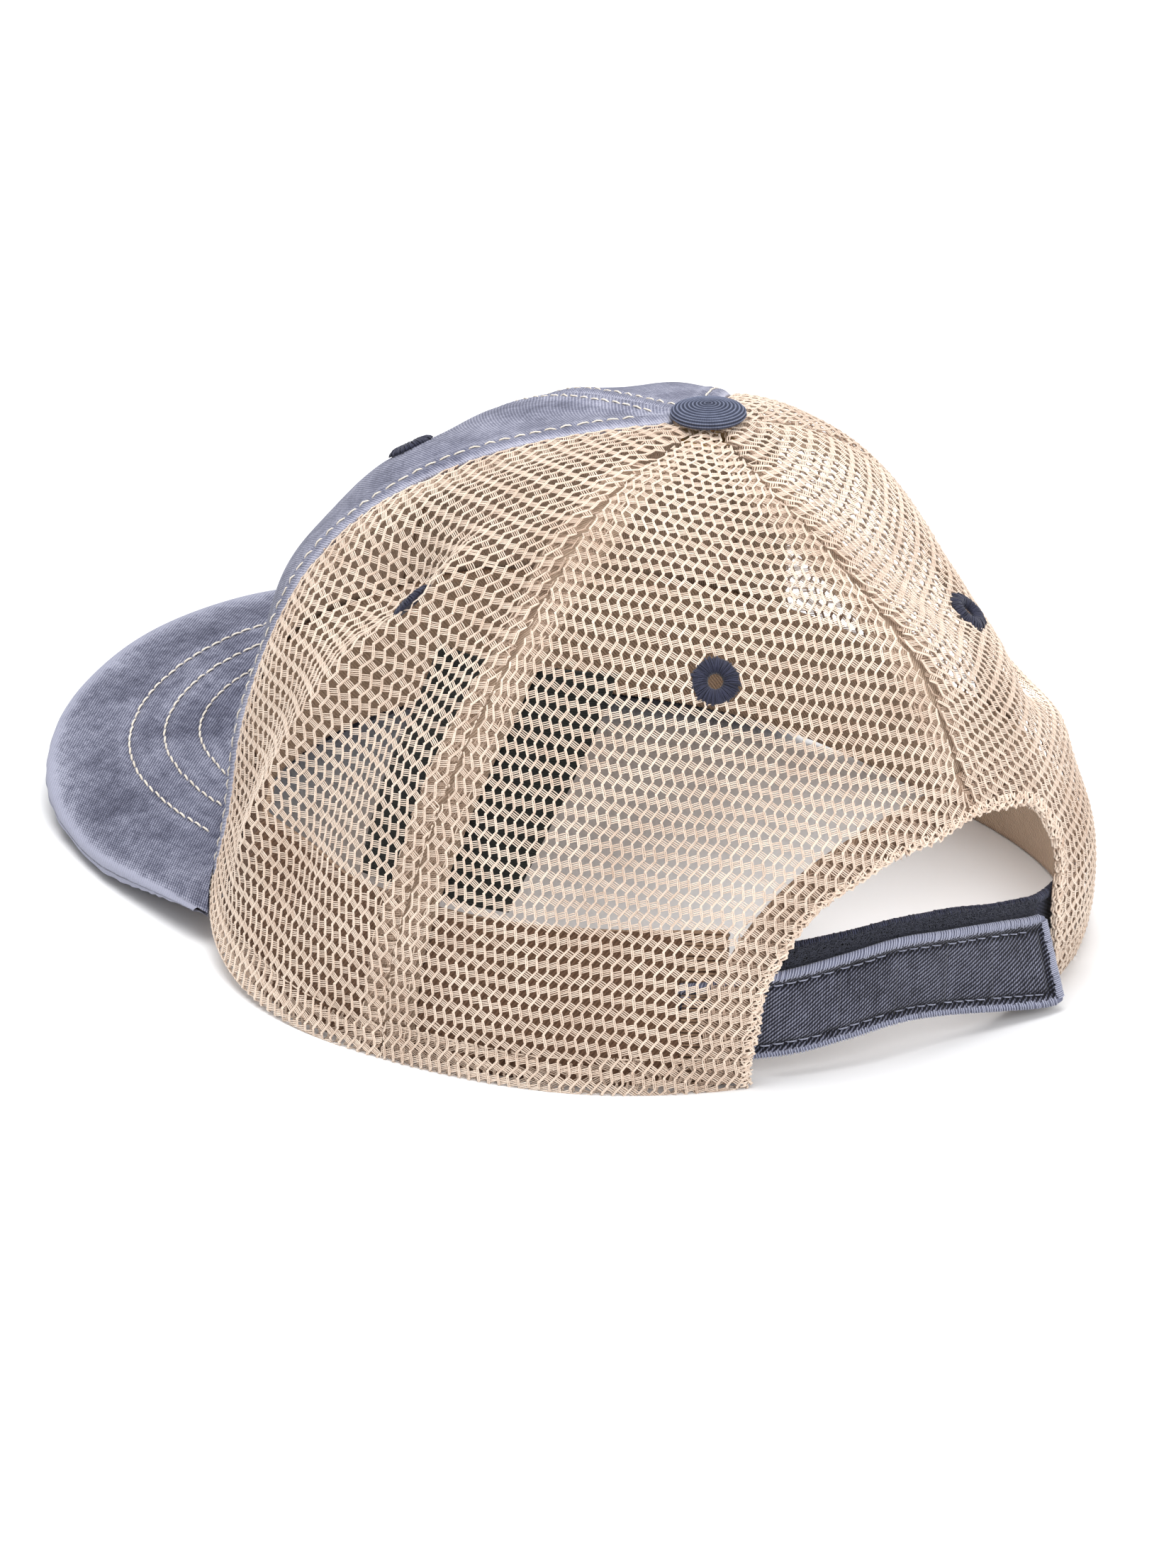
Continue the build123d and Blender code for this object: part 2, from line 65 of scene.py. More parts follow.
# Control points (x, y, z), one row every 18 degrees of azimuth, from the hem up.
# Every row ends at the apex, which is added below.
CROWN_ROWS = [
    [(-9.0, -91.9, 14.1), (-7.1, -91.5, 20.7), (-5.4, -89.8, 38.5), (-4.1, -79.3, 65.3),
     (-3.5, -63.6, 88.3), (-3.7, -37.9, 104.2), (-4.9, -16.9, 109.1)],
    [(16.6, -90.1, 14.6), (18.6, -89.9, 20.8), (19.9, -88.3, 38.6), (18.6, -78.3, 65.7),
     (15.4, -63.2, 88.9), (8.5, -37.8, 104.6), (2.2, -16.9, 109.1)],
    [(44.3, -80.0, 13.6), (45.7, -79.6, 19.9), (46.0, -78.2, 38.5), (42.0, -69.7, 66.3),
     (34.9, -56.4, 89.5), (21.0, -33.2, 104.7), (9.3, -14.1, 109.1)],
    [(70.5, -59.8, 11.4), (69.8, -58.9, 18.9), (68.2, -58.0, 39.1), (62.1, -52.8, 68.3),
     (51.5, -42.6, 90.8), (31.2, -23.5, 104.7), (14.9, -8.4, 109.1)],
    [(92.6, -33.8, 4.2), (86.6, -32.3, 16.4), (82.6, -31.8, 39.1), (73.7, -29.2, 69.0),
     (60.2, -22.9, 91.5), (36.5, -10.9, 105.2), (17.9, -1.0, 109.1)],
    [(96.9, -3.1, -1.0), (91.8, -3.8, 13.4), (87.4, -4.4, 37.2), (76.1, -3.3, 67.5),
     (61.0, -1.0, 91.0), (37.3, 2.1, 105.7), (18.5, 6.3, 109.2)],
    [(88.2, 30.0, -0.3), (88.5, 26.3, 11.6), (85.8, 24.4, 35.2), (73.6, 23.8, 65.5),
     (58.6, 21.3, 90.2), (36.3, 15.4, 106.2), (18.3, 13.5, 109.3)],
    [(73.0, 59.2, -0.6), (73.5, 56.5, 10.8), (71.8, 54.8, 33.9), (62.3, 50.6, 64.8),
     (50.3, 43.0, 89.9), (31.3, 29.4, 106.1), (15.6, 21.4, 109.3)],
    [(48.2, 78.8, -0.5), (48.1, 79.6, 10.7), (47.0, 79.1, 33.9), (41.8, 71.9, 65.2),
     (34.8, 60.4, 89.8), (22.1, 41.1, 105.4), (10.7, 28.3, 109.2)],
    [(18.4, 88.5, -0.5), (17.8, 91.7, 10.9), (17.0, 92.6, 34.3), (15.7, 84.4, 65.7),
     (14.9, 70.6, 89.6), (11.7, 47.3, 104.0), (5.4, 31.7, 108.9)],
    [(-9.4, 90.1, -0.5), (-10.5, 94.0, 10.8), (-11.0, 95.8, 34.0), (-8.8, 87.5, 65.2),
     (-4.2, 73.0, 89.0), (1.9, 48.2, 102.3), (0.0, 32.1, 108.7)],
    [(-34.8, 87.0, -0.5), (-35.8, 91.2, 10.1), (-34.9, 93.0, 32.5), (-28.6, 84.4, 62.7),
     (-20.1, 70.3, 86.9), (-10.2, 47.3, 102.6), (-7.6, 31.9, 108.9)],
    [(-58.0, 74.2, -0.5), (-58.8, 78.9, 9.3), (-56.6, 80.5, 30.5), (-45.7, 71.8, 59.5),
     (-35.0, 60.0, 84.9), (-22.8, 42.0, 103.1), (-16.0, 29.4, 109.0)],
    [(-76.0, 53.1, -0.5), (-75.4, 56.4, 8.2), (-71.8, 57.3, 28.9), (-59.7, 51.0, 58.4),
     (-48.9, 44.0, 85.3), (-33.4, 32.6, 104.0), (-22.6, 24.2, 109.1)],
    [(-84.8, 25.7, -0.5), (-83.0, 27.6, 8.1), (-79.7, 28.5, 29.3), (-69.8, 26.8, 60.2),
     (-58.6, 25.0, 87.0), (-39.5, 20.5, 104.4), (-25.8, 17.1, 109.1)],
    [(-85.5, -2.8, -0.6), (-83.9, -1.6, 9.5), (-81.3, -0.1, 31.2), (-72.5, 2.0, 61.7),
     (-60.5, 4.8, 87.0), (-40.1, 7.5, 103.6), (-26.1, 9.6, 109.0)],
    [(-83.7, -32.0, 1.7), (-82.6, -30.8, 11.9), (-80.5, -28.8, 33.2), (-71.9, -23.4, 62.7),
     (-59.5, -16.2, 86.8), (-39.2, -5.8, 103.0), (-25.4, 1.9, 108.9)],
    [(-74.5, -60.8, 4.1), (-73.6, -59.6, 13.6), (-71.7, -57.1, 34.3), (-63.8, -48.9, 63.1),
     (-52.7, -37.2, 86.7), (-34.8, -19.4, 103.0), (-22.9, -6.0, 108.9)],
    [(-56.7, -82.2, 6.4), (-55.6, -81.1, 15.1), (-53.8, -78.6, 35.0), (-47.6, -68.4, 63.3),
     (-39.3, -53.5, 86.8), (-26.4, -30.1, 103.1), (-18.1, -12.2, 108.9)],
    [(-33.3, -91.7, 10.4), (-31.8, -91.0, 18.0), (-30.0, -88.8, 36.7), (-26.2, -77.9, 64.2),
     (-21.7, -61.9, 87.4), (-15.3, -36.1, 103.4), (-11.6, -15.7, 109.0)],
]
NET = np.array([row + [APEX] for row in CROWN_ROWS], float)
N_AZIM, N_LEV = NET.shape[:2]
KNOTS = np.concatenate([np.zeros(3), np.linspace(0, 1, N_LEV - 2), np.ones(3)])


def bell(x, width):
    return np.exp(-((x / width) ** 2))


def smooth(x):
    return x * x * (3 - 2 * x)


def ease(x, start, end):
    """Smooth step from 0 at start to 1 at end."""
    return smooth(np.clip((x - start) / (end - start), 0, 1))


def unit(vec):
    return vec / np.maximum(np.linalg.norm(vec, axis=-1, keepdims=True), 1e-9)


def path_length(pts):
    """Length along a row of points, from 0."""
    return np.r_[0, np.cumsum(np.linalg.norm(np.diff(pts, axis=0), axis=1))]


def bilinear(table, i, j, f, g):
    return (table[i, j] * (1 - f) * (1 - g) + table[i + 1, j] * f * (1 - g)
            + table[i, j + 1] * (1 - f) * g + table[i + 1, j + 1] * f * g)


def unit_grid(rows, cols):
    return np.meshgrid(np.linspace(0, 1, rows), np.linspace(0, 1, cols), indexing="ij")


def level_weights(lev):
    """Clamped cubic B-spline weights of the control points at each level."""
    lev = np.clip(lev, 0, 1 - 1e-12)
    basis = [((lev >= KNOTS[i]) & (lev < KNOTS[i + 1])).astype(float)
             for i in range(len(KNOTS) - 1)]
    for degree in range(1, 4):
        raised = []
        for i in range(len(KNOTS) - 1 - degree):
            total = 0 * lev
            lo, hi = KNOTS[i], KNOTS[i + degree]
            if hi > lo:
                total = total + (lev - lo) / (hi - lo) * basis[i]
            lo, hi = KNOTS[i + 1], KNOTS[i + degree + 1]
            if hi > lo:
                total = total + (hi - lev) / (hi - lo) * basis[i + 1]
            raised.append(total)
        basis = raised
    return np.stack(basis, -1)


def crown(azim, lev):
    """Exact point of the surface: a closed cubic B-spline round, a clamped one upwards."""
    azim, lev = np.broadcast_arrays(np.asarray(azim, float), np.asarray(lev, float))
    x = (azim.ravel() / 360.0) % 1.0 * N_AZIM
    i = np.floor(x).astype(int)
    f = x - i
    around = [(1 - f) ** 3 / 6, (3 * f**3 - 6 * f**2 + 4) / 6,
              (-3 * f**3 + 3 * f**2 + 3 * f + 1) / 6, f**3 / 6]
    upward = level_weights(lev.ravel())
    pts = sum(around[k][:, None] * np.einsum("mj,mjc->mc", upward, NET[(i + k - 1) % N_AZIM])
              for k in range(4))
    return pts.reshape(azim.shape + (3,))


# The surface and its normals are tabled once and read by linear steps.
AZIM_STEPS, LEV_STEPS = 720, 240


def crown_tables():
    azim, lev = np.meshgrid(np.linspace(0, 360, AZIM_STEPS + 1),
                            np.linspace(0, 1, LEV_STEPS + 1), indexing="ij")
    pts = crown(azim, lev)
    along = np.empty_like(pts)
    along[1:-1] = pts[2:] - pts[:-2]
    along[0] = along[-1] = pts[1] - pts[-2]
    nrm = unit(np.cross(along, np.gradient(pts, axis=1)))
    nrm *= np.sign((nrm * (pts - np.array([0, 0, 30.0]))).sum(-1, keepdims=True))
    nrm[:, -3:] = nrm[:, -4:-3]
    return pts, nrm


POINTS, NORMALS = crown_tables()


def look(table, azim, lev):
    x = (np.asarray(azim, float) % 360.0) / 360.0 * AZIM_STEPS
    y = np.clip(np.asarray(lev, float), 0, 1) * LEV_STEPS
    x, y = np.broadcast_arrays(x, y)
    i = np.minimum(np.floor(x).astype(int), AZIM_STEPS - 1)
    j = np.minimum(np.floor(y).astype(int), LEV_STEPS - 1)
    return bilinear(table, i, j, (x - i)[..., None], (y - j)[..., None])


def crown_pt(azim, lev):
    return look(POINTS, azim, lev)


def crown_nrm(azim, lev):
    nrm = look(NORMALS, azim, lev)
    return nrm / np.linalg.norm(nrm, axis=-1, keepdims=True)


def signed(azim):
    return (np.asarray(azim, float) + 180.0) % 360.0 - 180.0


WALL = 160  # nominal length of the wall from hem to top
# the upright fold down the left side panel: levels and azimuths of its line
FOLD_LEVEL = [0.05, 0.16, 0.28, 0.40, 0.47, 0.54, 0.61, 0.72]
FOLD_AZIM = [72, 75, 79, 84, 86, 90, 92, 95]
# hollows and swells: height, azimuth, level, half width across, half width upwards
DENTS = [
    (-5.0, 205.0, 0.66, 17, 22),   # the back, right of the rear seam
    (-3.6, 228.0, 0.405, 20, 6.5),  # a crease low on the right
    (2.2, 222.0, 0.335, 16, 8),    # a swell under the crease
    (-1.4, 166.0, 0.50, 10, 26),   # left of the rear seam
]


def slump(azim, lev):
    """How far the soft crown has creased in or out from the plain surface."""
    azim, lev = np.broadcast_arrays(np.asarray(azim, float), np.asarray(lev, float))
    turn = signed(azim)
    pos = crown_pt(azim, lev)
    radius = np.maximum(np.hypot(pos[..., 0], pos[..., 1]), 4.0)
    x = np.radians(turn - np.interp(lev, FOLD_LEVEL, FOLD_AZIM)) * radius
    fade = smooth(np.clip((lev - 0.04) / 0.14, 0, 1) * np.clip((0.76 - lev) / 0.16, 0, 1))
    out = fade * (3.6 * np.exp(-np.sqrt((x / 3.8) ** 2 + 0.12))
                  - 2.9 * bell(x - 15, 10) - 2.2 * bell(x + 12, 8))
    # in front of the fold, round the side eyelet, the cloth drops steeply and returns slowly
    steep = smooth(np.clip((4.0 - x) / 10.0, 0, 1))
    out = out - 7.6 * steep * bell(np.minimum(x + 8.0, 0), 15.0) * bell((lev - 0.575) * WALL, 17)
    # the right side has sunk in
    out -= 4.3 * np.exp(-((signed(azim - 240.0) / 30.0) ** 2) - (np.abs(lev - 0.56) / 0.21) ** 3)
    for height, mid_azim, mid_lev, wide, tall in DENTS:
        x = np.radians(signed(azim - mid_azim)) * radius
        out += height * bell(x, wide) * bell((lev - mid_lev) * WALL, tall)
    # small soft waves all over
    rad = np.radians(turn)
    out += (0.55 * np.sin(5 * rad + 9 * lev + 0.7) * np.sin(3.1 * rad - 14 * lev)
            * np.clip(lev * 5, 0, 1))
    out += (0.35 * np.sin(11 * rad - 21 * lev + 2.0)
            * np.clip(lev * 6, 0, 1) * np.clip((0.93 - lev) * 6, 0, 1))
    return out


def surf(azim, lev, depth=0.0):
    """Point of the slumped crown, depth mm under its outside."""
    return crown_pt(azim, lev) + (slump(azim, lev) - depth)[..., None] * crown_nrm(azim, lev)


def apex_radius(azim, lev):
    """Level distance from the apex, at least 3 mm."""
    away = (crown_pt(azim, lev) - crown_pt(0, 1))[..., :2]
    return np.maximum(np.linalg.norm(away, axis=-1), 3)


SEAM_FRONT, SEAM_BACK_RIM, SEAM_BACK_TOP = 60.0, 104.0, 120.0  # azimuths of the side seams


def seam(k, lev):
    """Azimuth of seam k at a level; 0 and 6 are the front centre, 3 the rear centre."""
    lev = np.asarray(lev, float)
    back = SEAM_BACK_RIM + (SEAM_BACK_TOP - SEAM_BACK_RIM) * lev
    return (0 * lev, SEAM_FRONT + 0 * lev, back, 180 + 0 * lev, 360 - back,
            360 - SEAM_FRONT + 0 * lev, 360 + 0 * lev)[k]


# The rear opening is a superellipse in x and z, a little higher at -X.
ARCH_X, ARCH_HALF, ARCH_TOP = 0.5, 40.5, 46.0
ARCH_POW_X, ARCH_POW_Z, ARCH_SKEW = 3.4, 2.4, 0.0039


def arch_leg(x, z):
    """The wearer's right leg of the opening leans in towards the strap below the bend."""
    return np.where(x < 0, 1 - 0.125 * (1 - ease(z, 20.0, 36.0)), 1.0)


def arch_slope(x, z):
    """Gradient of the superellipse."""
    return (ARCH_POW_X / ARCH_HALF * (np.abs(x) / ARCH_HALF) ** (ARCH_POW_X - 1) * np.sign(x),
            ARCH_POW_Z / ARCH_TOP * (np.maximum(z, 1e-6) / ARCH_TOP) ** (ARCH_POW_Z - 1))


def arch_dist(pos):
    """Rough distance of a rear wall point outside the opening; far for points elsewhere."""
    side = pos[..., 0] - ARCH_X
    x = np.abs(side) / arch_leg(side, pos[..., 2]) + 1e-6
    z = np.maximum(pos[..., 2], 1e-6) / (1 - ARCH_SKEW * np.clip(side, -60, 60))
    excess = (x / ARCH_HALF) ** ARCH_POW_X + (z / ARCH_TOP) ** ARCH_POW_Z - 1
    dist = excess / np.maximum(np.hypot(*arch_slope(x, z)), 0.02)
    return np.where(pos[..., 1] > 30, dist, 99.0)


# eyelet of each panel: azimuth, length up the wall from the hem, name
EYES = [(35.0, 95.0, "front_left"), (89.5, 92.5, "side_left"), (144.5, 85.0, "back_left"),
        (215.5, 85.0, "back_right"), (270.5, 92.5, "side_right"), (325.0, 95.0, "front_right")]


def exact_level(azim, length):
    """Level whose length up the wall from the hem is given, at one azimuth."""
    levs = np.linspace(0, 1, 241)
    return np.interp(length, path_length(crown_pt(azim + 0 * levs, levs)), levs)


TABLE_TURN = 3.0  # degrees between the columns of the level tables
Z_STEP = 0.5


def level_tables():
    """Levels by whole millimetres up the wall, and by half millimetres of height."""
    levs = np.linspace(0, 1, 121)
    by_length, by_z = [], []
    for azim in np.arange(0, 361, TABLE_TURN):
        wall = crown_pt(azim + 0 * levs, levs)
        by_length.append(np.interp(np.linspace(0, 150, 151), path_length(wall), levs))
        by_z.append(np.interp(np.linspace(0, 105, 211), wall[:, 2], levs))
    return np.array(by_length), np.array(by_z)


LEVEL_BY_LENGTH, LEVEL_BY_Z = level_tables()


def read_level(table, azim, steps):
    azim, steps = np.broadcast_arrays(np.asarray(azim, float) % 360.0, steps)
    x = azim / TABLE_TURN
    i = np.minimum(np.floor(x).astype(int), len(table) - 2)
    y = np.clip(steps, 0, table.shape[1] - 1.001)
    j = np.floor(y).astype(int)
    return bilinear(table, i, j, x - i, y - j)


def level_up(azim, length):
    return read_level(LEVEL_BY_LENGTH, azim, np.asarray(length, float))


def level_at_z(azim, z):
    return read_level(LEVEL_BY_Z, azim, np.asarray(z, float) / Z_STEP)


class Panel:
    """Flat pattern of one panel: across from its middle line and up from the hem, in mm."""

    ROWS, COLS, TOP_LEVEL = 200, 41, 0.995

    def __init__(self, k):
        self.levs = np.linspace(0, self.TOP_LEVEL, self.ROWS)
        share = np.linspace(0, 1, self.COLS)
        start, end = seam(k, self.levs), seam(k + 1, self.levs)
        azim = start[:, None] + (end - start)[:, None] * share
        pts = crown_pt(azim, self.levs[:, None] + 0 * azim)
        steps = np.linalg.norm(np.diff(pts, axis=1), axis=2)
        arc = np.concatenate([np.zeros((self.ROWS, 1)), np.cumsum(steps, axis=1)], 1)
        self.half = arc[:, -1] / 2
        self.azims = np.array([np.interp(share * arc[i, -1], arc[i], azim[i])
                               for i in range(self.ROWS)])
        self.ups = path_length(crown_pt(self.azims[:, self.COLS // 2], self.levs))
        self.top = self.ups[-1]

    def width(self, up):
        return np.interp(up, self.ups, self.half)

    def place(self, across, up):
        """Azimuth and level of a flat point."""
        lev = np.interp(up, self.ups, self.levs)
        half = self.width(up)
        y = np.clip((across / np.maximum(half, 1e-3) + 1) / 2, 0, 1) * (self.COLS - 1)
        x = lev / self.TOP_LEVEL * (self.ROWS - 1)
        i = np.clip(np.floor(x).astype(int), 0, self.ROWS - 2)
        j = np.clip(np.floor(y).astype(int), 0, self.COLS - 2)
        return bilinear(self.azims, i, j, x - i, y - j), lev

    def flat_of(self, azim, length):
        """Flat place of the crown point at an azimuth and a length up the wall."""
        lev = exact_level(azim, length)
        i = int(np.clip(lev / self.TOP_LEVEL * (self.ROWS - 1), 0, self.ROWS - 2))
        share = np.interp(azim, self.azims[i], np.linspace(0, 1, self.COLS))
        return (2 * share - 1) * self.half[i], np.interp(lev, self.levs, self.ups)


PANELS = [Panel(k) for k in range(6)]
PANEL_NODE = ["front_panel_left", "side_panel_left", "back_panel_left", "back_panel_right",
              "side_panel_right", "front_panel_right"]

# ------------------------------------------------------------------ mesh building


def build(name, verts, faces, mats, attrs=None, mat_index=None):
    """A mesh object from vertices in mm and four-cornered faces."""
    verts = np.asarray(verts, float) * MM
    faces = np.asarray(faces, np.int64)
    mesh = bpy.data.meshes.new(name)
    mesh.vertices.add(len(verts))
    mesh.vertices.foreach_set("co", verts.astype(np.float32).ravel())
    mesh.loops.add(faces.size)
    mesh.loops.foreach_set("vertex_index", faces.astype(np.int32).ravel())
    mesh.polygons.add(len(faces))
    starts = np.arange(len(faces)) * faces.shape[1]
    mesh.polygons.foreach_set("loop_start", starts.astype(np.int32))
    for mat in mats if isinstance(mats, (list, tuple)) else [mats]:
        mesh.materials.append(mat)
    if mat_index is not None:
        mesh.polygons.foreach_set("material_index", np.asarray(mat_index, np.int32))
    for key, values in (attrs or {}).items():
        values = np.asarray(values, np.float32)
        kind, field = ("FLOAT_VECTOR", "vector") if values.ndim == 2 else ("FLOAT", "value")
        layer = mesh.attributes.new(key, kind, "POINT")
        layer.data.foreach_set(field, values.ravel())
    mesh.update(calc_edges=True)
    mesh.validate(clean_customdata=False)
    ob = bpy.data.objects.new(name, mesh)
    bpy.context.scene.collection.objects.link(ob)
    return ob


def settle(ob, nodes=(), body="root"):
    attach(ob, body)
    if nodes:
        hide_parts(*nodes)


def tube(path, normal, side_r, normal_r, tint, sides=4, valid=None):
    """Closed tubes of 4 or 6 sides along rows of points (tubes, points, 3), with elliptical
    sections. Only the valid points are joined. Returns vertices, quads and tint."""
    path = np.asarray(path, float)
    n, m = path.shape[:2]
    normal = np.broadcast_to(normal, path.shape)
    if valid is None:
        valid = np.ones((n, m), bool)
    along = np.empty_like(path)
    along[:, 1:-1] = path[:, 2:] - path[:, :-2]
    along[:, 0] = path[:, 1] - path[:, 0]
    along[:, -1] = path[:, -1] - path[:, -2]
    along = unit(along)
    side = unit(np.cross(along, normal))
    rise = np.cross(side, along)
    side_r = np.broadcast_to(np.asarray(side_r, float), (n, m))[..., None]
    normal_r = np.broadcast_to(np.asarray(normal_r, float), (n, m))[..., None]
    angles = np.arange(sides) * 2 * np.pi / sides + (np.pi / 4 if sides == 4 else 0)
    verts = np.stack([path + side_r * np.cos(a) * side + normal_r * np.sin(a) * rise
                      for a in angles], 2).reshape(-1, 3)
    index = np.arange(n * m * sides).reshape(n, m, sides)
    joined = valid[:, 1:] & valid[:, :-1]
    low, high = index[:, :-1][joined], index[:, 1:][joined]
    faces = [np.stack([low, np.roll(low, -1, 1), np.roll(high, -1, 1), high],
                      -1).reshape(-1, 4)]
    pad = np.zeros((n, 1), bool)
    link = np.concatenate([pad, joined, pad], 1)
    start = valid & ~link[:, :-1] & link[:, 1:]
    end = valid & link[:, :-1] & ~link[:, 1:]
    for cap in (index[start][:, ::-1], index[end]):
        if sides == 4:
            faces.append(cap)
        else:
            faces += [cap[:, [0, 1, 2, 3]], cap[:, [0, 3, 4, 5]]]
    faces = np.concatenate(faces)
    tint = np.broadcast_to(np.asarray(tint, float).reshape((n, -1)), (n, m))
    tint = np.repeat(tint[..., None], sides, 2).reshape(-1)
    used = np.zeros(len(verts), bool)
    used[faces.ravel()] = True
    renumber = np.cumsum(used) - 1
    return verts[used], renumber[faces], tint[used]


def tones(rng, count, mean=1.0, spread=0.3, low=0.2, high=1.8):
    """One tint for each yarn."""
    return np.clip(rng.normal(mean, spread, count), low, high)


def join_sets(sets):
    """Joins (vertices, faces, tint) sets into one."""
    verts, faces, tints, base = [], [], [], 0
    for vert, face, tint in sets:
        verts.append(vert)
        faces.append(face + base)
        tints.append(tint)
        base += len(vert)
    return np.concatenate(verts), np.concatenate(faces), np.concatenate(tints)


def yarn_object(name, sets, mat):
    verts, faces, tint = join_sets(sets)
    return build(name, verts, faces, mat, {"tint": tint})


def thread_object(name, sets, mat, nodes=()):
    settle(yarn_object(name, sets, mat), nodes)


def grid_faces(n, m):
    i = np.arange(n * m).reshape(n, m)
    return np.stack([i[:-1, :-1], i[1:, :-1], i[1:, 1:], i[:-1, 1:]], -1).reshape(-1, 4)


def shell_object(name, outer, inner, flat_x, flat_y, wear, mats):
    """A closed cloth sheet between two grids. A second material goes on the inner face and
    the rim. Attribute fab is the place on the flat cloth."""
    n, m = outer.shape[:2]
    count = n * m
    i, j = n // 2, m // 2
    across = np.cross(outer[i, j] - outer[i - 1, j], outer[i, j] - outer[i, j - 1])
    outward = across @ (outer[i, j] - inner[i, j]) > 0
    front = grid_faces(n, m)
    if not outward:
        front = front[:, ::-1]
    index = np.arange(count).reshape(n, m)
    rim = np.concatenate([index[:-1, 0], index[-1, :-1], index[::-1, -1][:-1],
                          index[0, ::-1][:-1]])
    ahead = np.roll(rim, -1)
    edge = np.stack([rim, ahead, ahead + count, rim + count], -1)
    if outward:
        edge = edge[:, ::-1]
    faces = np.concatenate([front, front[:, ::-1] + count, edge])
    verts = np.concatenate([outer.reshape(-1, 3), inner.reshape(-1, 3)])
    data = np.broadcast_arrays(flat_x, flat_y, 0.0, wear, outer[..., 0])[:4]
    data = np.stack(data, -1).reshape(count, 4)
    data = np.concatenate([data, data])
    two = isinstance(mats, list)
    mat_index = (np.arange(len(faces)) >= len(front)).astype(int) if two else None
    return build(name, verts, faces, mats, {"fab": data[:, :3], "wear": data[:, 3]}, mat_index)


def sheet(name, azim, lev, depths, mats, node, flat, relief=0.0, wear=0.0, body="root"):
    """A cloth sheet over a grid of azimuths and levels, between two depths under the crown.
    flat is its (x, y) on the flat cloth; relief lifts both faces."""
    nrm = crown_nrm(azim, lev)
    base = crown_pt(azim, lev) + slump(azim, lev)[..., None] * nrm
    base = base + np.asarray(relief)[..., None] * nrm
    outer, inner = (base - np.asarray(depth)[..., None] * nrm for depth in depths)
    settle(shell_object(name, outer, inner, *flat, wear, mats), [node], body)


def stitch_row(path, normal, length, gap, radius, lift, sides=6, skew=0.0, rise=0.16):
    """Lockstitches along a path, their ends sunk into the cloth."""
    path = np.asarray(path, float)
    dist = path_length(path)
    n = int((dist[-1] - 0.5) / (length + gap))
    start = np.arange(n) * (length + gap) + RNG.normal(0, 0.06, n)
    frac = np.array([0, 0.16, 0.5, 0.84, 1.0])
    where = start[:, None] + frac * length * (1 + RNG.normal(0, 0.03, (n, 1)))
    pts = np.stack([np.interp(where, dist, path[:, i]) for i in range(3)], -1)
    nrm = np.stack([np.interp(where, dist, normal[:, i]) for i in range(3)], -1)
    nrm /= np.linalg.norm(nrm, axis=-1, keepdims=True)
    side = np.cross(unit(pts[:, -1:] - pts[:, :1]), nrm)
    height = lift + np.array([-0.30, 0.02, rise, 0.02, -0.30])
    slant = (frac - 0.5) * (skew + 0.12)
    pts = (pts + nrm * height[None, :, None]
           + side * (slant[None, :, None] + RNG.normal(0, 0.05, (n, 1))[..., None]))
    thick = radius * np.array([0.75, 1.0, 1.08, 1.0, 0.75])
    return tube(pts, nrm, thick, thick * 0.9, tones(RNG, n, spread=0.15, low=0.4, high=1.5),
                sides)


# ------------------------------------------------------------------ materials


def lin(rgb):
    """Linear colour of an sRGB one given in 0 to 255."""
    return tuple(c / 255 / 12.92 if c / 255 <= 0.04045 else ((c / 255 + 0.055) / 1.055) ** 2.4
                 for c in rgb)


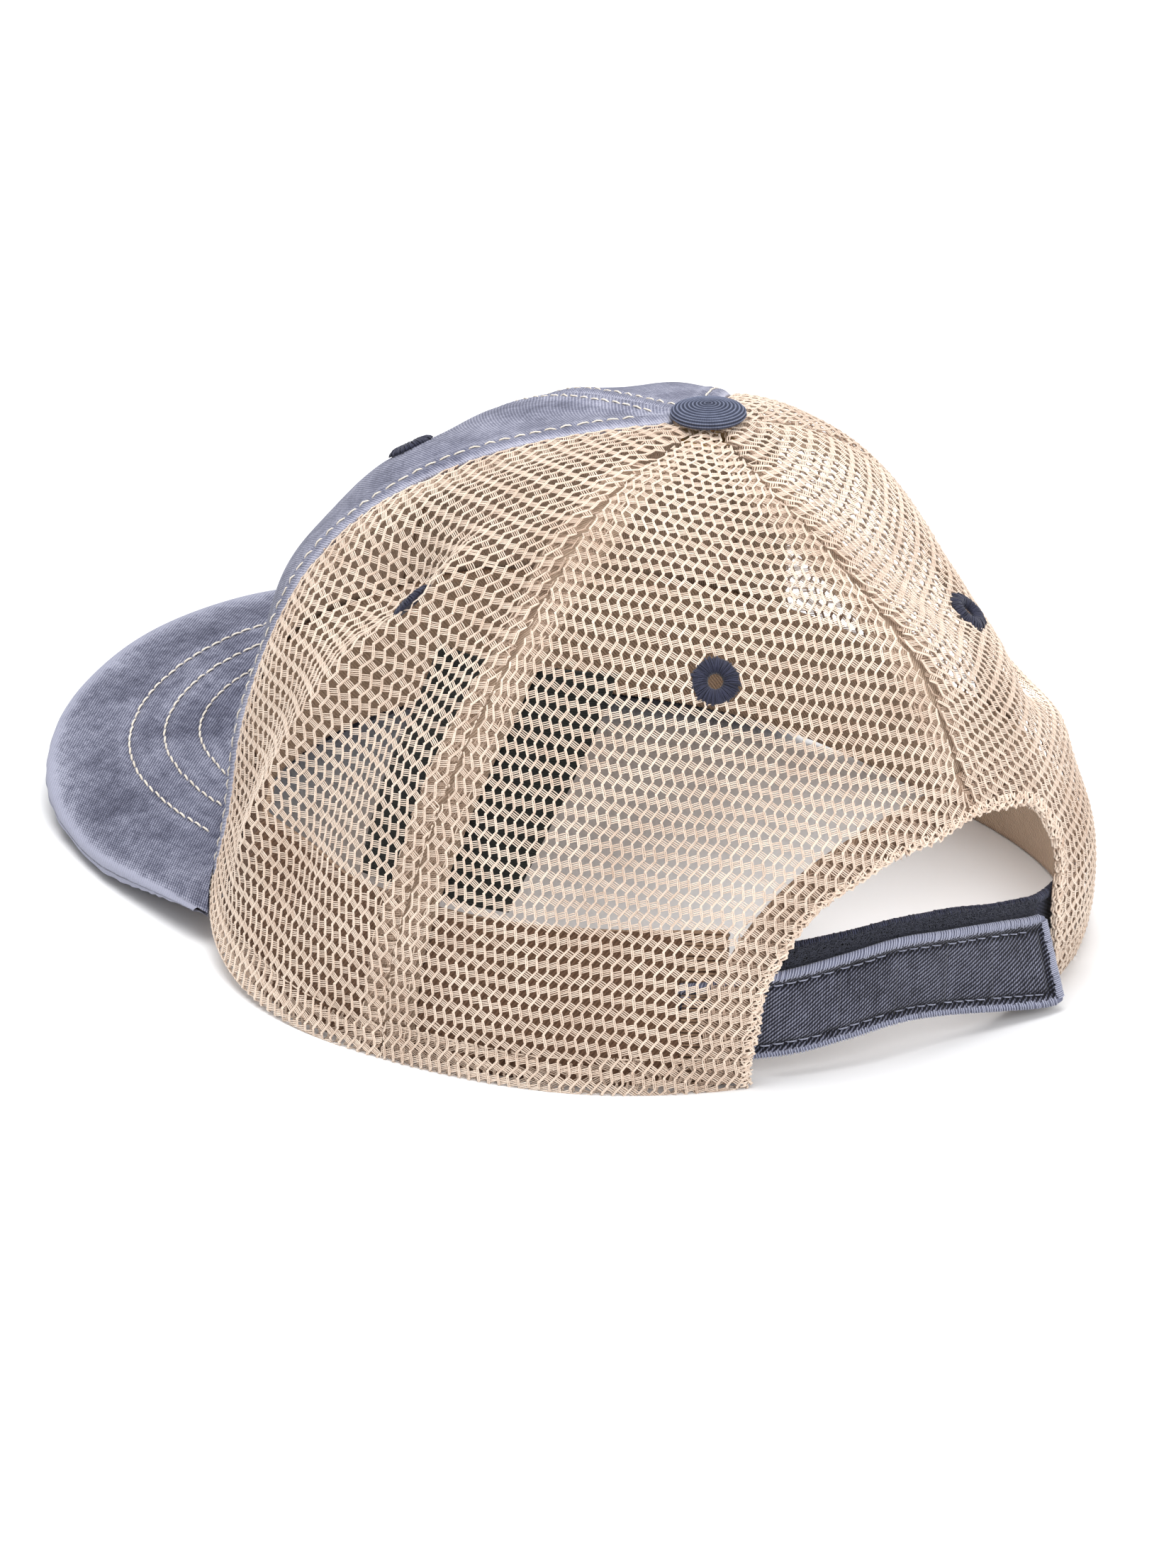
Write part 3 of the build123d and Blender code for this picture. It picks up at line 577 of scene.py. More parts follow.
class Shader:
    """A material with one principled surface, and short calls that add nodes to it."""

    def __init__(self, name):
        self.mat = bpy.data.materials.new(name)
        self.mat.use_nodes = True
        self.tree = self.mat.node_tree
        self.tree.nodes.clear()
        out = self.node("ShaderNodeOutputMaterial")
        self.bsdf = self.node("ShaderNodeBsdfPrincipled")
        self.tree.links.new(self.bsdf.outputs[0], out.inputs[0])

    def node(self, kind, **settings):
        node = self.tree.nodes.new(kind)
        for key, value in settings.items():
            setattr(node, key, value)
        return node

    def feed(self, socket, value):
        if isinstance(value, bpy.types.NodeSocket):
            self.tree.links.new(value, socket)
        else:
            socket.default_value = value

    def finish(self, **inputs):
        """Sets surface inputs, underscores standing for spaces, and returns the material."""
        for key, value in inputs.items():
            self.feed(self.bsdf.inputs[key.replace("_", " ")], value)
        return self.mat

    def attr(self, name, out="Fac"):
        return self.node("ShaderNodeAttribute", attribute_name=name).outputs[out]

    def object_place(self):
        return self.node("ShaderNodeTexCoord").outputs["Object"]

    def math(self, operation, *values):
        node = self.node("ShaderNodeMath", operation=operation)
        for socket, value in zip(node.inputs, values):
            self.feed(socket, value)
        return node.outputs[0]

    def mul(self, a, b):
        return self.math("MULTIPLY", a, b)

    def add(self, a, b):
        return self.math("ADD", a, b)

    def weighted(self, *pairs):
        """Sum of (value, weight) pairs."""
        total = self.mul(*pairs[0])
        for value, weight in pairs[1:]:
            total = self.add(total, self.mul(value, weight))
        return total

    def wave(self, coord, period):
        """Sine from -1 to 1."""
        return self.math("SINE", self.mul(coord, 2 * math.pi / period))

    def half_range(self, value):
        """-1..1 to 0..1."""
        return self.math("MULTIPLY_ADD", value, 0.5, 0.5)

    def vec(self, x, y):
        node = self.node("ShaderNodeCombineXYZ")
        for socket, value in zip(node.inputs, (x, y, 0.0)):
            self.feed(socket, value)
        return node.outputs[0]

    def split(self, vector):
        node = self.node("ShaderNodeSeparateXYZ")
        self.feed(node.inputs[0], vector)
        return node.outputs[0], node.outputs[1]

    def noise(self, vector, scale, detail=3.0, rough=0.55, distortion=0.0):
        node = self.node("ShaderNodeTexNoise")
        for key, value in (("Vector", vector), ("Scale", scale), ("Detail", detail),
                           ("Roughness", rough), ("Distortion", distortion)):
            self.feed(node.inputs[key], value)
        return node.outputs["Fac"]

    def ramp(self, fac, *stops):
        """Colours by position; stops are (position, sRGB)."""
        node = self.node("ShaderNodeValToRGB")
        elements = node.color_ramp.elements
        while len(elements) < len(stops):
            elements.new(0.5)
        for element, (position, rgb) in zip(elements, stops):
            element.position = position
            element.color = (*lin(rgb), 1)
        self.feed(node.inputs[0], fac)
        return node.outputs[0]

    def mix(self, fac, color, rgb):
        node = self.node("ShaderNodeMix", data_type="RGBA")
        self.feed(node.inputs[0], fac)
        self.feed(node.inputs[6], color)
        self.feed(node.inputs[7], (*lin(rgb), 1))
        return node.outputs[2]

    def map(self, value, from_min, from_max, to_min, to_max):
        node = self.node("ShaderNodeMapRange")
        for socket, val in zip(node.inputs, (value, from_min, from_max, to_min, to_max)):
            self.feed(socket, val)
        return node.outputs[0]

    def spread(self, value, low, high):
        """The busy middle of a noise, 0.3 to 0.7, mapped to low..high."""
        return self.map(value, 0.3, 0.7, low, high)

    def bump(self, height, distance, strength):
        node = self.node("ShaderNodeBump")
        self.feed(node.inputs["Height"], height)
        node.inputs["Distance"].default_value = distance
        node.inputs["Strength"].default_value = strength
        return node.outputs[0]


def yarn_material(name, light, dark, rough=0.85, sheen=0.15, spot=0.15):
    """Spun yarn: each yarn its own tone, soft mottling, spots and fuzz in the surface."""
    sh = Shader(name)
    place = sh.object_place()
    big = sh.noise(place, 45)
    small = sh.noise(place, 2200, detail=2, rough=0.7)
    tone = sh.weighted((big, 0.55), (small, spot), (sh.attr("tint"), 0.42))
    fuzz = sh.noise(place, 5200, detail=1, rough=0.5)
    return sh.finish(
        Base_Color=sh.ramp(tone, (0.38, dark), (0.92, light)),
        Roughness=sh.spread(small, rough - 0.08, min(1.0, rough + 0.08)),
        Sheen_Weight=sheen, Sheen_Roughness=0.5, Specular_IOR_Level=0.25,
        Normal=sh.bump(fuzz, distance=0.00006, strength=0.6))


def denim_material(name, dark, mid, light, pitch=0.62, angle=35.0, wash=1.0, edge=None,
                   contrast=1.0):
    """Washed twill: slanting rows, slubs both ways, cloudy wash and pale worn edges."""
    sh = Shader(name)
    fab = sh.attr("fab", "Vector")
    wear = sh.attr("wear")
    x, y = sh.split(fab)
    slant = math.radians(angle)
    wobble = sh.noise(fab, 0.9, detail=2)
    across = sh.weighted((x, -math.sin(slant)), (y, math.cos(slant)), (wobble, 0.25))
    rows = sh.half_range(sh.wave(across, pitch))
    dashes = sh.wave(x, pitch * 0.75)

    def stretched(scale_x, scale_y, detail, rough):
        place = sh.vec(sh.mul(x, scale_x), sh.mul(y, scale_y))
        return sh.noise(place, 1.0, detail=detail, rough=rough)

    grain = stretched(3.4, 1.3, detail=2, rough=0.7)
    slub_up = stretched(1.5, 0.10, detail=3, rough=0.6)
    slub_across = stretched(0.12, 1.6, detail=2, rough=0.6)
    cloud = sh.noise(fab, 0.07, detail=4, rough=0.6, distortion=0.4)
    mottle = sh.noise(fab, 0.42, detail=4, rough=0.65)
    tone = sh.weighted((rows, 0.20 * contrast), (dashes, 0.04 * contrast), (grain, 0.42),
                       (slub_up, 0.22), (slub_across, 0.10), (cloud, 0.42 * wash),
                       (mottle, 0.30 * wash), (wear, 0.40))
    # the parts that run 0..1 average half their weights
    mean = 0.5 * (0.20 * contrast + 0.42 + 0.22 + 0.10 + 0.72 * wash)
    tone = sh.map(tone, mean - 0.26, mean + 0.34, 0, 1)
    color = sh.ramp(tone, (0.0, dark), (0.42, mid), (1.0, light))
    if edge is not None:
        color = sh.mix(sh.map(wear, 0.45, 1.0, 0, 0.9), color, edge)
    relief = sh.weighted((rows, 0.6), (grain, 0.6))
    return sh.finish(Base_Color=color, Roughness=sh.spread(grain, 0.88 - 0.07, 0.88 + 0.08),
                     Sheen_Weight=0.12, Specular_IOR_Level=0.2,
                     Normal=sh.bump(relief, distance=0.00022, strength=0.8))


def twill_material(name, light, dark, pitch=0.9, angle=55.0, rough=0.85, ribs=0.45):
    """Plain-coloured tape or lining with slanting ribs, fine threads and light soiling."""
    sh = Shader(name)
    fab = sh.attr("fab", "Vector")
    x, y = sh.split(fab)
    slant = math.radians(angle)
    across = sh.weighted((x, -math.sin(slant)), (y, math.cos(slant)))
    rib = sh.half_range(sh.wave(across, pitch))
    threads = sh.half_range(sh.wave(y, 0.36))
    fine = sh.noise(fab, 2.2, rough=0.7)
    soil = sh.noise(fab, 0.08)
    tone = sh.weighted((rib, ribs), (fine, 0.35), (threads, 0.08), (soil, 0.30))
    relief = sh.add(rib, sh.mul(fine, 0.5))
    return sh.finish(
        Base_Color=sh.ramp(tone, (0.22, dark), (0.85, light)),
        Roughness=sh.spread(fine, rough - 0.06, min(1, rough + 0.08)),
        Sheen_Weight=0.1, Specular_IOR_Level=0.2,
        Normal=sh.bump(relief, distance=0.00025, strength=0.8))


def button_material():
    """Ribbed denim on the button; wear is the height of its rings."""
    sh = Shader("button_ribbed_denim")
    fab = sh.attr("fab", "Vector")
    x, y = sh.split(fab)
    mottle = sh.noise(fab, 0.5, rough=0.65)
    fine = sh.noise(fab, 5.0, detail=2, rough=0.7)
    spokes = sh.half_range(sh.math("SINE", sh.mul(sh.math("ARCTAN2", y, x), 90.0)))
    tone = sh.add(sh.mul(sh.attr("wear"), 0.55), sh.weighted((mottle, 0.35), (fine, 0.3)))
    tone = sh.add(tone, sh.mul(spokes, 0.08))
    return sh.finish(
        Base_Color=sh.ramp(tone, (0.25, (36, 40, 54)), (0.65, (74, 80, 100)),
                           (1.0, (128, 134, 156))),
        Roughness=sh.spread(fine, 0.75, 0.95), Specular_IOR_Level=0.25,
        Normal=sh.bump(sh.add(fine, spokes), distance=0.0001, strength=0.7))


def board_material():
    sh = Shader("bill_board_plastic")
    grain = sh.noise(sh.object_place(), 900)
    return sh.finish(Base_Color=sh.ramp(grain, (0.3, (186, 187, 184)), (0.8, (206, 206, 203))),
                     Roughness=sh.spread(grain, 0.5, 0.7),
                     Normal=sh.bump(grain, distance=0.0002, strength=0.4))


def brass_material():
    sh = Shader("rivet_brass")
    grain = sh.noise(sh.object_place(), 700, detail=4)
    return sh.finish(Base_Color=sh.ramp(grain, (0.3, (176, 142, 84)), (0.8, (206, 172, 112))),
                     Metallic=1.0, Roughness=sh.spread(grain, 0.28, 0.5))


def hook_material():
    """Nylon hook tape with a grid of small dots."""
    sh = Shader("hook_tape_nylon")
    fab = sh.attr("fab", "Vector")
    x, y = sh.split(fab)
    grain = sh.noise(fab, 3.0, rough=0.7)
    dots = sh.mul(sh.wave(x, 1.4), sh.wave(y, 1.1))
    tone = sh.add(sh.mul(dots, 0.3), grain)
    return sh.finish(Base_Color=sh.ramp(tone, (0.3, (14, 15, 19)), (0.9, (40, 42, 49))),
                     Roughness=sh.spread(grain, 0.45, 0.65),
                     Normal=sh.bump(tone, distance=0.0003, strength=1.0))


def loop_material():
    """The dark ground of the loop tape."""
    sh = Shader("loop_tape_pile")
    fab = sh.attr("fab", "Vector")
    tufts = sh.noise(fab, 2.0, detail=4, rough=0.75, distortion=0.8)
    tone = sh.weighted((tufts, 0.8), (sh.noise(fab, 0.25), 0.3))
    return sh.finish(Base_Color=sh.ramp(tone, (0.35, (3, 3, 6)), (0.95, (26, 27, 34))),
                     Roughness=sh.spread(tufts, 0.75, 0.95),
                     Sheen_Weight=0.1, Specular_IOR_Level=0.2,
                     Normal=sh.bump(tufts, distance=0.0006, strength=1.0))


MAT = {
    "knit": yarn_material("knit_cotton", light=(242, 225, 208), dark=(188, 157, 134)),
    # the same cotton knit in darker colours for the doubled cloth inside: painted shade
    "knit_under_painted_shade": yarn_material("knit_cotton_inner", light=(226, 204, 185),
                                dark=(164, 134, 112)),
    "denim": denim_material("washed_denim", dark=(66, 68, 86), mid=(112, 114, 134),
                            light=(182, 183, 200), wash=1.15),
    "bill_denim": denim_material("bill_washed_denim", dark=(42, 44, 61), mid=(84, 86, 106),
                                 light=(164, 166, 184), wash=1.3, edge=(150, 152, 170),
                                 contrast=1.2),
    "strap_denim": denim_material("strap_denim", dark=(7, 7, 12), mid=(37, 38, 51),
                                  light=(138, 140, 158), pitch=0.76, angle=-36, wash=0.8,
                                  edge=(112, 115, 136), contrast=2.0),
    "tape": twill_material("seam_tape_twill", light=(214, 192, 170), dark=(164, 138, 116),
                           pitch=0.6, angle=60),
    "arch_tape": twill_material("arch_tape_twill", light=(196, 170, 148), dark=(140, 112, 92),
                                pitch=0.55, angle=60),
    "sweat": twill_material("sweatband_outer_twill", light=(142, 112, 90), dark=(104, 79, 62),
                            pitch=0.75, angle=50),
    "sweat_in": twill_material("sweatband_inner_twill", light=(214, 188, 164),
                               dark=(182, 154, 130), pitch=0.75, angle=50),
    "lining": twill_material("cotton_backing", light=(228, 203, 181), dark=(202, 175, 152),
                             pitch=0.45, angle=90, ribs=0.15),
    "label": twill_material("label_satin", light=(52, 56, 52), dark=(26, 28, 28), pitch=0.5,
                            angle=0, rough=0.6, ribs=0.25),
    "stitch": yarn_material("cream_topstitch", light=(232, 224, 212), dark=(196, 186, 172),
                            rough=0.8),
    "stitch_tan": yarn_material("tan_stitch", light=(222, 204, 186), dark=(182, 158, 138),
                                rough=0.8),
    "eyelet": yarn_material("eyelet_thread", light=(48, 50, 70), dark=(18, 19, 30),
                            rough=0.75, spot=0.3),
    "overcast": yarn_material("blue_overcast", light=(158, 161, 180), dark=(44, 46, 62),
                              spot=0.85),
    "blue_thread": yarn_material("navy_thread", light=(60, 63, 84), dark=(32, 33, 48)),
    "overlock": yarn_material("sweatband_overlock", light=(176, 148, 124),
                              dark=(128, 102, 82), spot=0.3),
    "button": button_material(),
    "board": board_material(),
    "brass": brass_material(),
    "hook": hook_material(),
    "loop": loop_material(),
    "pile": yarn_material("loop_pile_fibre", light=(56, 58, 70), dark=(3, 3, 6), rough=0.75,
                          sheen=0.12, spot=0.8),
    "under": denim_material("under_strap_denim", dark=(20, 21, 32), mid=(44, 46, 62),
                            light=(92, 95, 116), pitch=0.72, angle=32, wash=0.5),
}

# ------------------------------------------------------------------ knit mesh panels
# by panel: wale pitch, row pitch, lean of the wales, slope of the rows, growth of the slope
GRAIN = {1: (2.42, 2.74, 0.05, -0.06, -0.0010), 2: (2.17, 2.62, 0.22, -0.19, -0.0033),
         3: (2.17, 2.62, -0.20, 0.17, -0.0030), 4: (2.36, 2.70, -0.05, 0.06, 0.0010)}
BACK_PANELS = (2, 3)  # the ones the rear opening cuts
ZIG = 0.60            # sideways swing of a ridge
HEM_R = 0.42          # radius of the fold at the hem
TURN = 8.6            # cloth turned up inside the hem
HEM_STITCH = 7.2      # height of the stitch line along the hem
EYE_CUT = 4.0         # radius left open for an eyelet
BAND = 6.2            # how far the doubled cloth reaches from each seam


def warp(k, across, cloth):
    """Straight lattice place to panel place: the cloth was cut a little off its grain."""
    _, _, lean, slope, growth = GRAIN[k]
    across = across + lean * (cloth - 40.0)
    return across, cloth + slope * across + 0.5 * growth * across**2


def fold(cloth):
    """Cloth length from the hem edge to (height, depth); below 0 it wraps to the inside."""
    around = np.pi * HEM_R
    angle = np.clip(-cloth / HEM_R, 0, np.pi)
    inside = np.where(cloth < -around, HEM_R + (-cloth - around), HEM_R * (1 - np.sin(angle)))
    return np.where(cloth >= 0, HEM_R + cloth, inside), HEM_R * (1 - np.cos(angle))


def wander(k, across, up):
    """Slow drift of the knit's wales and rows."""
    aside = 0.35 * np.sin(0.11 * up + 1.3 * k) + 0.25 * np.sin(0.23 * up + 0.07 * across + k)
    rise = (0.55 * np.sin(0.075 * across + 0.9 * k)
            + 0.30 * np.sin(0.19 * across + 0.05 * up + 2.0 * k))
    grow = np.clip(up / 12, 0, 1)
    return aside * grow, rise * grow


def on_panel(k, across, cloth, depth=0.0):
    """Points, normals, distance from the seam and height of flat places on panel k."""
    panel = PANELS[k]
    up, fold_depth = fold(cloth)
    aside, rise = wander(k, across, up)
    half = panel.width(up)
    aside = aside * np.clip((half - np.abs(across)) / 4.0, 0, 1)
    azim, lev = panel.place(across + aside, np.clip(up + rise, 0.02, panel.top))
    seam_dist = half - np.abs(across + aside)
    groove = 0.55 * bell(seam_dist, 1.5) * np.clip(up / 6, 0.3, 1)
    hemline = 0.35 * bell(up - HEM_STITCH, 0.8)
    pos = surf(azim, lev, fold_depth + depth + groove + hemline)
    return pos, crown_nrm(azim, lev), seam_dist, up


def lay_yarn(k, across, cloth, lift, depth, region, whole):
    """Yarn points on panel k, their normals and which of them stay. With whole, a yarn stays
    only if all of it does, and one that crosses a seam is drawn back to it."""
    panel = PANELS[k]
    across, cloth = warp(k, across, cloth)
    if whole:
        half = panel.width(np.maximum(cloth, 0))
        beyond = np.abs(across) > half
        crosses = (beyond[:, 0] != beyond[:, -1])[:, None]
        across = np.where(crosses, np.clip(across, -half + 0.12, half - 0.12), across)
    pos, nrm, seam_dist, up = on_panel(k, across, cloth, depth)
    eye_across, eye_up = panel.flat_of(*EYES[k][:2])
    keep = (seam_dist > 0.05) & (np.hypot(across - eye_across, up - eye_up) > EYE_CUT)
    if k in BACK_PANELS:
        keep &= arch_dist(pos) > 0
    if region is not None:
        keep &= region(up, seam_dist, pos)
    if whole:
        keep = np.broadcast_to(keep.all(1)[:, None], keep.shape)
    facing = np.where(cloth < -np.pi * HEM_R / 2, -1.0, 1.0)
    return pos + nrm * (lift * facing)[..., None], nrm, keep


def lattice(k, phase, shift):
    """Start of every ridge segment as columns, and the way it leans going up: 1 or -1."""
    panel = PANELS[k]
    pitch, row, lean, slope, growth = GRAIN[k]
    widest = panel.half.max()
    skew = abs(slope) * widest + abs(growth) * 0.5 * widest**2
    wales = int(np.ceil((widest + abs(lean) * 90) / pitch)) + 2
    below = int(np.ceil((TURN + skew) / row)) + 2
    above = int(np.ceil((panel.top + skew) / row)) + 2
    i, j = np.meshgrid(np.arange(-wales, wales + 1), np.arange(-below, above), indexing="ij")
    i, j = i.ravel(), j.ravel()
    across = (i + phase) * pitch
    cloth = j * row + shift
    flat_x, flat_y = warp(k, across, cloth)
    keep = ((np.abs(flat_x) < panel.width(np.abs(flat_y)) + pitch)
            & (flat_y < panel.top * 0.985) & (flat_y > -TURN))
    way = np.where(j % 2 == 0, -1.0, 1.0)
    return across[keep][:, None], cloth[keep][:, None], way[keep][:, None]


def zigzag(way, frac):
    return ZIG * (-way) * (1 - 2 * np.clip(frac, 0.0, 1.0))


def knit_ridges(k, depth=0.0, phase=0.0, shift=0.0, lift=0.0, region=None, mess=0.0):
    """Upright zigzag ridges: two yarns side by side, and a small knot at each kink."""
    row = GRAIN[k][1]
    across0, cloth0, way = lattice(k, phase, shift)
    n = len(across0)
    sets = []
    for side in (-1.0, 1.0):
        frac = np.array([-0.08, 0.07, 0.5, 0.93, 1.10]) + RNG.normal(0, 0.012, (n, 1))
        # the two yarns part in the middle of a segment and close at its ends
        part = np.where(way < 0, 0.165, 0.12) * side * np.array([0.45, 0.95, 1.05, 0.95, 0.30])
        across = (across0 + zigzag(way, frac) + part
                  + RNG.normal(0, 0.022 + mess * 0.5, (n, 1)) + RNG.normal(0, 0.012, (n, 5)))
        cloth = cloth0 + row * frac + RNG.normal(0, 0.03 + mess, (n, 1))
        rise = (lift + 0.13
                + np.array([0.04, 0.11, 0.0, 0.08, 0.17]) * np.where(way < 0, 1.0, 0.6)
                - np.array([0.20, 0, 0, 0, 0.02])
                + RNG.normal(0, 0.015 + mess * 0.25, (n, 5)))
        pos, nrm, keep = lay_yarn(k, across, cloth, rise, depth, region, whole=False)
        radius = (0.13 * (1 + np.array([0.0, 0.26, 0.05, 0.10, 0.20]))
                  * (1 + RNG.normal(0, 0.05, (n, 1))))
        tint = tones(RNG, n, mean=1.05, spread=0.14, low=0.5, high=1.6)
        sets.append(tube(pos, nrm, radius, radius * 0.95, tint, valid=keep))
    frac = np.array([0.84, 1.0, 1.14])
    across = (across0 + zigzag(way, frac) - way * np.array([0.10, -0.10, 0.16])
              + RNG.normal(0, 0.02, (n, 1)))
    rise = lift + 0.25 + np.array([-0.02, 0.06, -0.10]) + RNG.normal(0, 0.02, (n, 3))
    pos, nrm, keep = lay_yarn(k, across, cloth0 + row * frac, rise, depth, region, whole=True)
    radius = np.array([0.14, 0.19, 0.12])
    tint = tones(RNG, n, mean=1.1, spread=0.12, low=0.5, high=1.6)
    sets.append(tube(pos, nrm, radius, radius * 0.8, tint, valid=keep))
    return join_sets(sets)


def knit_strands(k, depth=0.0, phase=0.0, shift=0.0, lift=0.0, region=None, mess=0.0):
    """Bundles of four strands that cross from ridge to ridge."""
    strands, spacing = 4, 0.355
    pitch, row = GRAIN[k][:2]
    across0, cloth0, way = lattice(k, phase, shift)
    n = len(across0)
    slope = -way * (2 * ZIG / row) * pitch * 0.5 * 0.85  # about square to the ridges
    frac = np.array([-0.03, 0.5, 1.03])
    sets = []
    for strand in range(strands):
        offset = ((strand - (strands - 1) / 2) * spacing
                  + RNG.normal(0, 0.018 + mess * 0.3, n))[:, None]
        cloth = (cloth0 + row * 0.5 + offset - slope * (1 - 2 * frac)
                 + RNG.normal(0, 0.018, (n, 3)))
        across = across0 + frac * pitch + zigzag(way, (cloth - cloth0) / row) * 0.9
        rise = (lift + 0.08 + np.array([0.02, 0.0, 0.02])
                + RNG.normal(0, 0.022 + mess * 0.3, (n, 3)))
        pos, nrm, keep = lay_yarn(k, across, cloth, rise, depth, region, whole=True)
        radius = 0.130 * (1 + RNG.normal(0, 0.05, (n, 1)))
        tint = tones(RNG, n, mean=1.02, spread=0.14, low=0.5, high=1.6)
        sets.append(tube(pos, nrm, radius, radius * 0.85, tint, valid=keep))
    return join_sets(sets)


def seam_region(up, seam_dist, pos):
    return (seam_dist < BAND) & (seam_dist > 0.3) & (up > 0.3)


def arch_region(up, seam_dist, pos):
    dist = arch_dist(pos)
    return (dist > 0.2) & (dist < 8.0) & (pos[..., 2] > 1)


def make_knit_panels():
    """Four mesh panels, with the cloth doubled inside at the seams and the rear opening."""
    parts = (knit_ridges, knit_strands)
    for k in GRAIN:
        node = PANEL_NODE[k]
        for label, part in zip(("ridges", "strands"), parts):
            thread_object("knit_%s_%s" % (label, node), [part(k)], MAT["knit"],
                          [node])
        sets = [part(k, depth=0.75, phase=0.43, shift=1.2, lift=-0.1, region=seam_region,
                     mess=0.12) for part in parts]
        if k in BACK_PANELS:
            sets += [part(k, depth=0.7, phase=0.27, shift=0.8, region=arch_region, mess=0.1)
                     for part in parts]
        # the doubled cloth inside takes the darker knit colours, painted shade
        thread_object("knit_turnback_" + node, sets, MAT["knit_under_painted_shade"], [node])


# ------------------------------------------------------------------ denim front panels
CENTRE_STITCH, SIDE_STITCH = 3.9, 3.2  # topstitching's distance from the two seams


def front_flat(k, azim, lev):
    """Flat place on a front panel (across, up) and the panel's half width there."""
    panel = PANELS[k]
    half = np.interp(lev, panel.levs, panel.half)
    start, end = seam(k, lev), seam(k + 1, lev)
    across = (2 * (azim - start) / np.maximum(end - start, 1e-6) - 1) * half
    return across, np.interp(lev, panel.levs, panel.ups), half


def front_relief(k, azim, lev):
    """Relief, flat place, and distances from the centre seam and the side seam."""
    across, up, half = front_flat(k, azim, lev)
    centre, side = half + across, half - across
    if k != 0:
        centre, side = side, centre
    relief = -0.55 * bell(centre, 1.0) - 0.75 * bell(side, 1.1)
    # doubled cloth beside the seams stands higher, and puckers between the stitches
    relief += 0.35 * (1 - ease(centre, 5.0, 6.8)) + 0.30 * (1 - ease(side, 4.0, 5.6))
    pucker = np.sin(up * 2.1 + 3 * np.sin(up * 0.31))
    for dist, line in ((centre, CENTRE_STITCH), (side, SIDE_STITCH)):
        relief -= 0.22 * bell(dist - line, 0.6)
        relief += 0.13 * pucker * bell(dist - line, 2.6)
    # the eyelet draws the cloth in around it
    eye_azim, eye_up, _ = EYES[k]
    eye = crown_pt(eye_azim, exact_level(eye_azim, eye_up))
    away = np.linalg.norm(crown_pt(azim, lev) - eye, axis=-1)
    relief += -0.35 * bell(away - 5.6, 1.5) + 0.25 * np.exp(-((away / 4.5) ** 4))
    return relief, (across, up), centre, side


def make_front_panels():
    for k in (0, 5):
        node = PANEL_NODE[k]
        share, rise = unit_grid(111, 211)
        lev = 0.002 + rise * 0.980
        start, end = seam(k, lev), seam(k + 1, lev)
        gap = np.degrees(0.08 / apex_radius(start, lev))
        azim = start + gap + (end - start - 2 * gap) * share
        relief, flat, centre, side = front_relief(k, azim, lev)
        wear = (0.55 * bell(centre, 0.9) + 0.8 * bell(side, 1.0) + 0.25 * bell(side - 5.2, 0.9)
                + 0.22 * bell(centre - 6.0, 0.9) + 0.18 * bell(centre - CENTRE_STITCH, 1.4))
        sheet("denim_" + node, azim, lev, (0.0, 0.85), MAT["denim"], node, flat,
              relief=relief, wear=np.clip(wear, 0, 1))
        # backing behind the denim
        share, rise = unit_grid(41, 71)
        lev = 0.02 + rise * 0.93
        start, end = seam(k, lev), seam(k + 1, lev)
        sheet("backing_" + node, start + 0.4 + (end - start - 0.8) * share, lev, (1.2, 1.65),
              MAT["lining"], node.replace("panel", "lining"),
              front_flat(k, start + (end - start) * share, lev)[:2])


def make_front_topstitch():
    sets = []
    for k in (0, 5):
        panel = PANELS[k]
        up = np.linspace(2.0, panel.top - 9.5, 400)
        lev = np.interp(up, panel.ups, panel.levs)
        half = np.interp(lev, panel.levs, panel.half)
        for at_centre, dist in ((True, CENTRE_STITCH), (False, SIDE_STITCH)):
            across = half - np.minimum(dist, half * 0.8)
            if at_centre == (k == 0):
                across = -across
            start, end = seam(k, lev), seam(k + 1, lev)
            azim = start + (end - start) * ((across / half + 1) / 2)
            relief = front_relief(k, azim, lev)[0]
            nrm = crown_nrm(azim, lev)
            pos = crown_pt(azim, lev) + (slump(azim, lev) + relief)[:, None] * nrm
            sets.append(stitch_row(pos, nrm, length=2.7, gap=0.6, radius=0.2, lift=0.12))
    thread_object("topstitch_front_panels", sets, MAT["stitch"])


def make_knit_stitches():
    """Stitch lines beside the seams of the knit panels and along their hem."""
    sets = []

    def add_line(k, across, up, depth, **style):
        pos, nrm, _, _ = on_panel(k, across, up, depth)
        if k in BACK_PANELS:
            keep = arch_dist(pos) > 1.0
            pos, nrm = pos[keep], nrm[keep]
        sets.append(stitch_row(pos, nrm, sides=4, **style))

    for k in GRAIN:
        panel = PANELS[k]
        up = np.linspace(0.5, panel.top - 10, 500)
        half = panel.width(up)
        for side in (-1, 1):
            beside_denim = (k, side) in ((1, -1), (4, 1))
            dist = np.minimum(2.6 if beside_denim else 5.4, half * 0.7)
            add_line(k, side * (half - dist), up, depth=0.15, length=2.9, gap=0.9,
                     radius=0.16, lift=0.05, rise=0.1)
        reach = float(panel.width(HEM_STITCH)) - 0.3
        across = np.linspace(-reach, reach, 300)
        add_line(k, across, HEM_STITCH + 0 * across, depth=0.0, length=2.8, gap=0.8,
                 radius=0.17, lift=0.10, rise=0.12)
    thread_object("stitch_lines_knit", sets, MAT["stitch_tan"])


# ------------------------------------------------------------------ seam tapes
TAPE_HALF, TAPE_START = 6.0, 2.5
TAPES = ["front_center", "front_left", "back_left", "rear_center", "back_right", "front_right"]


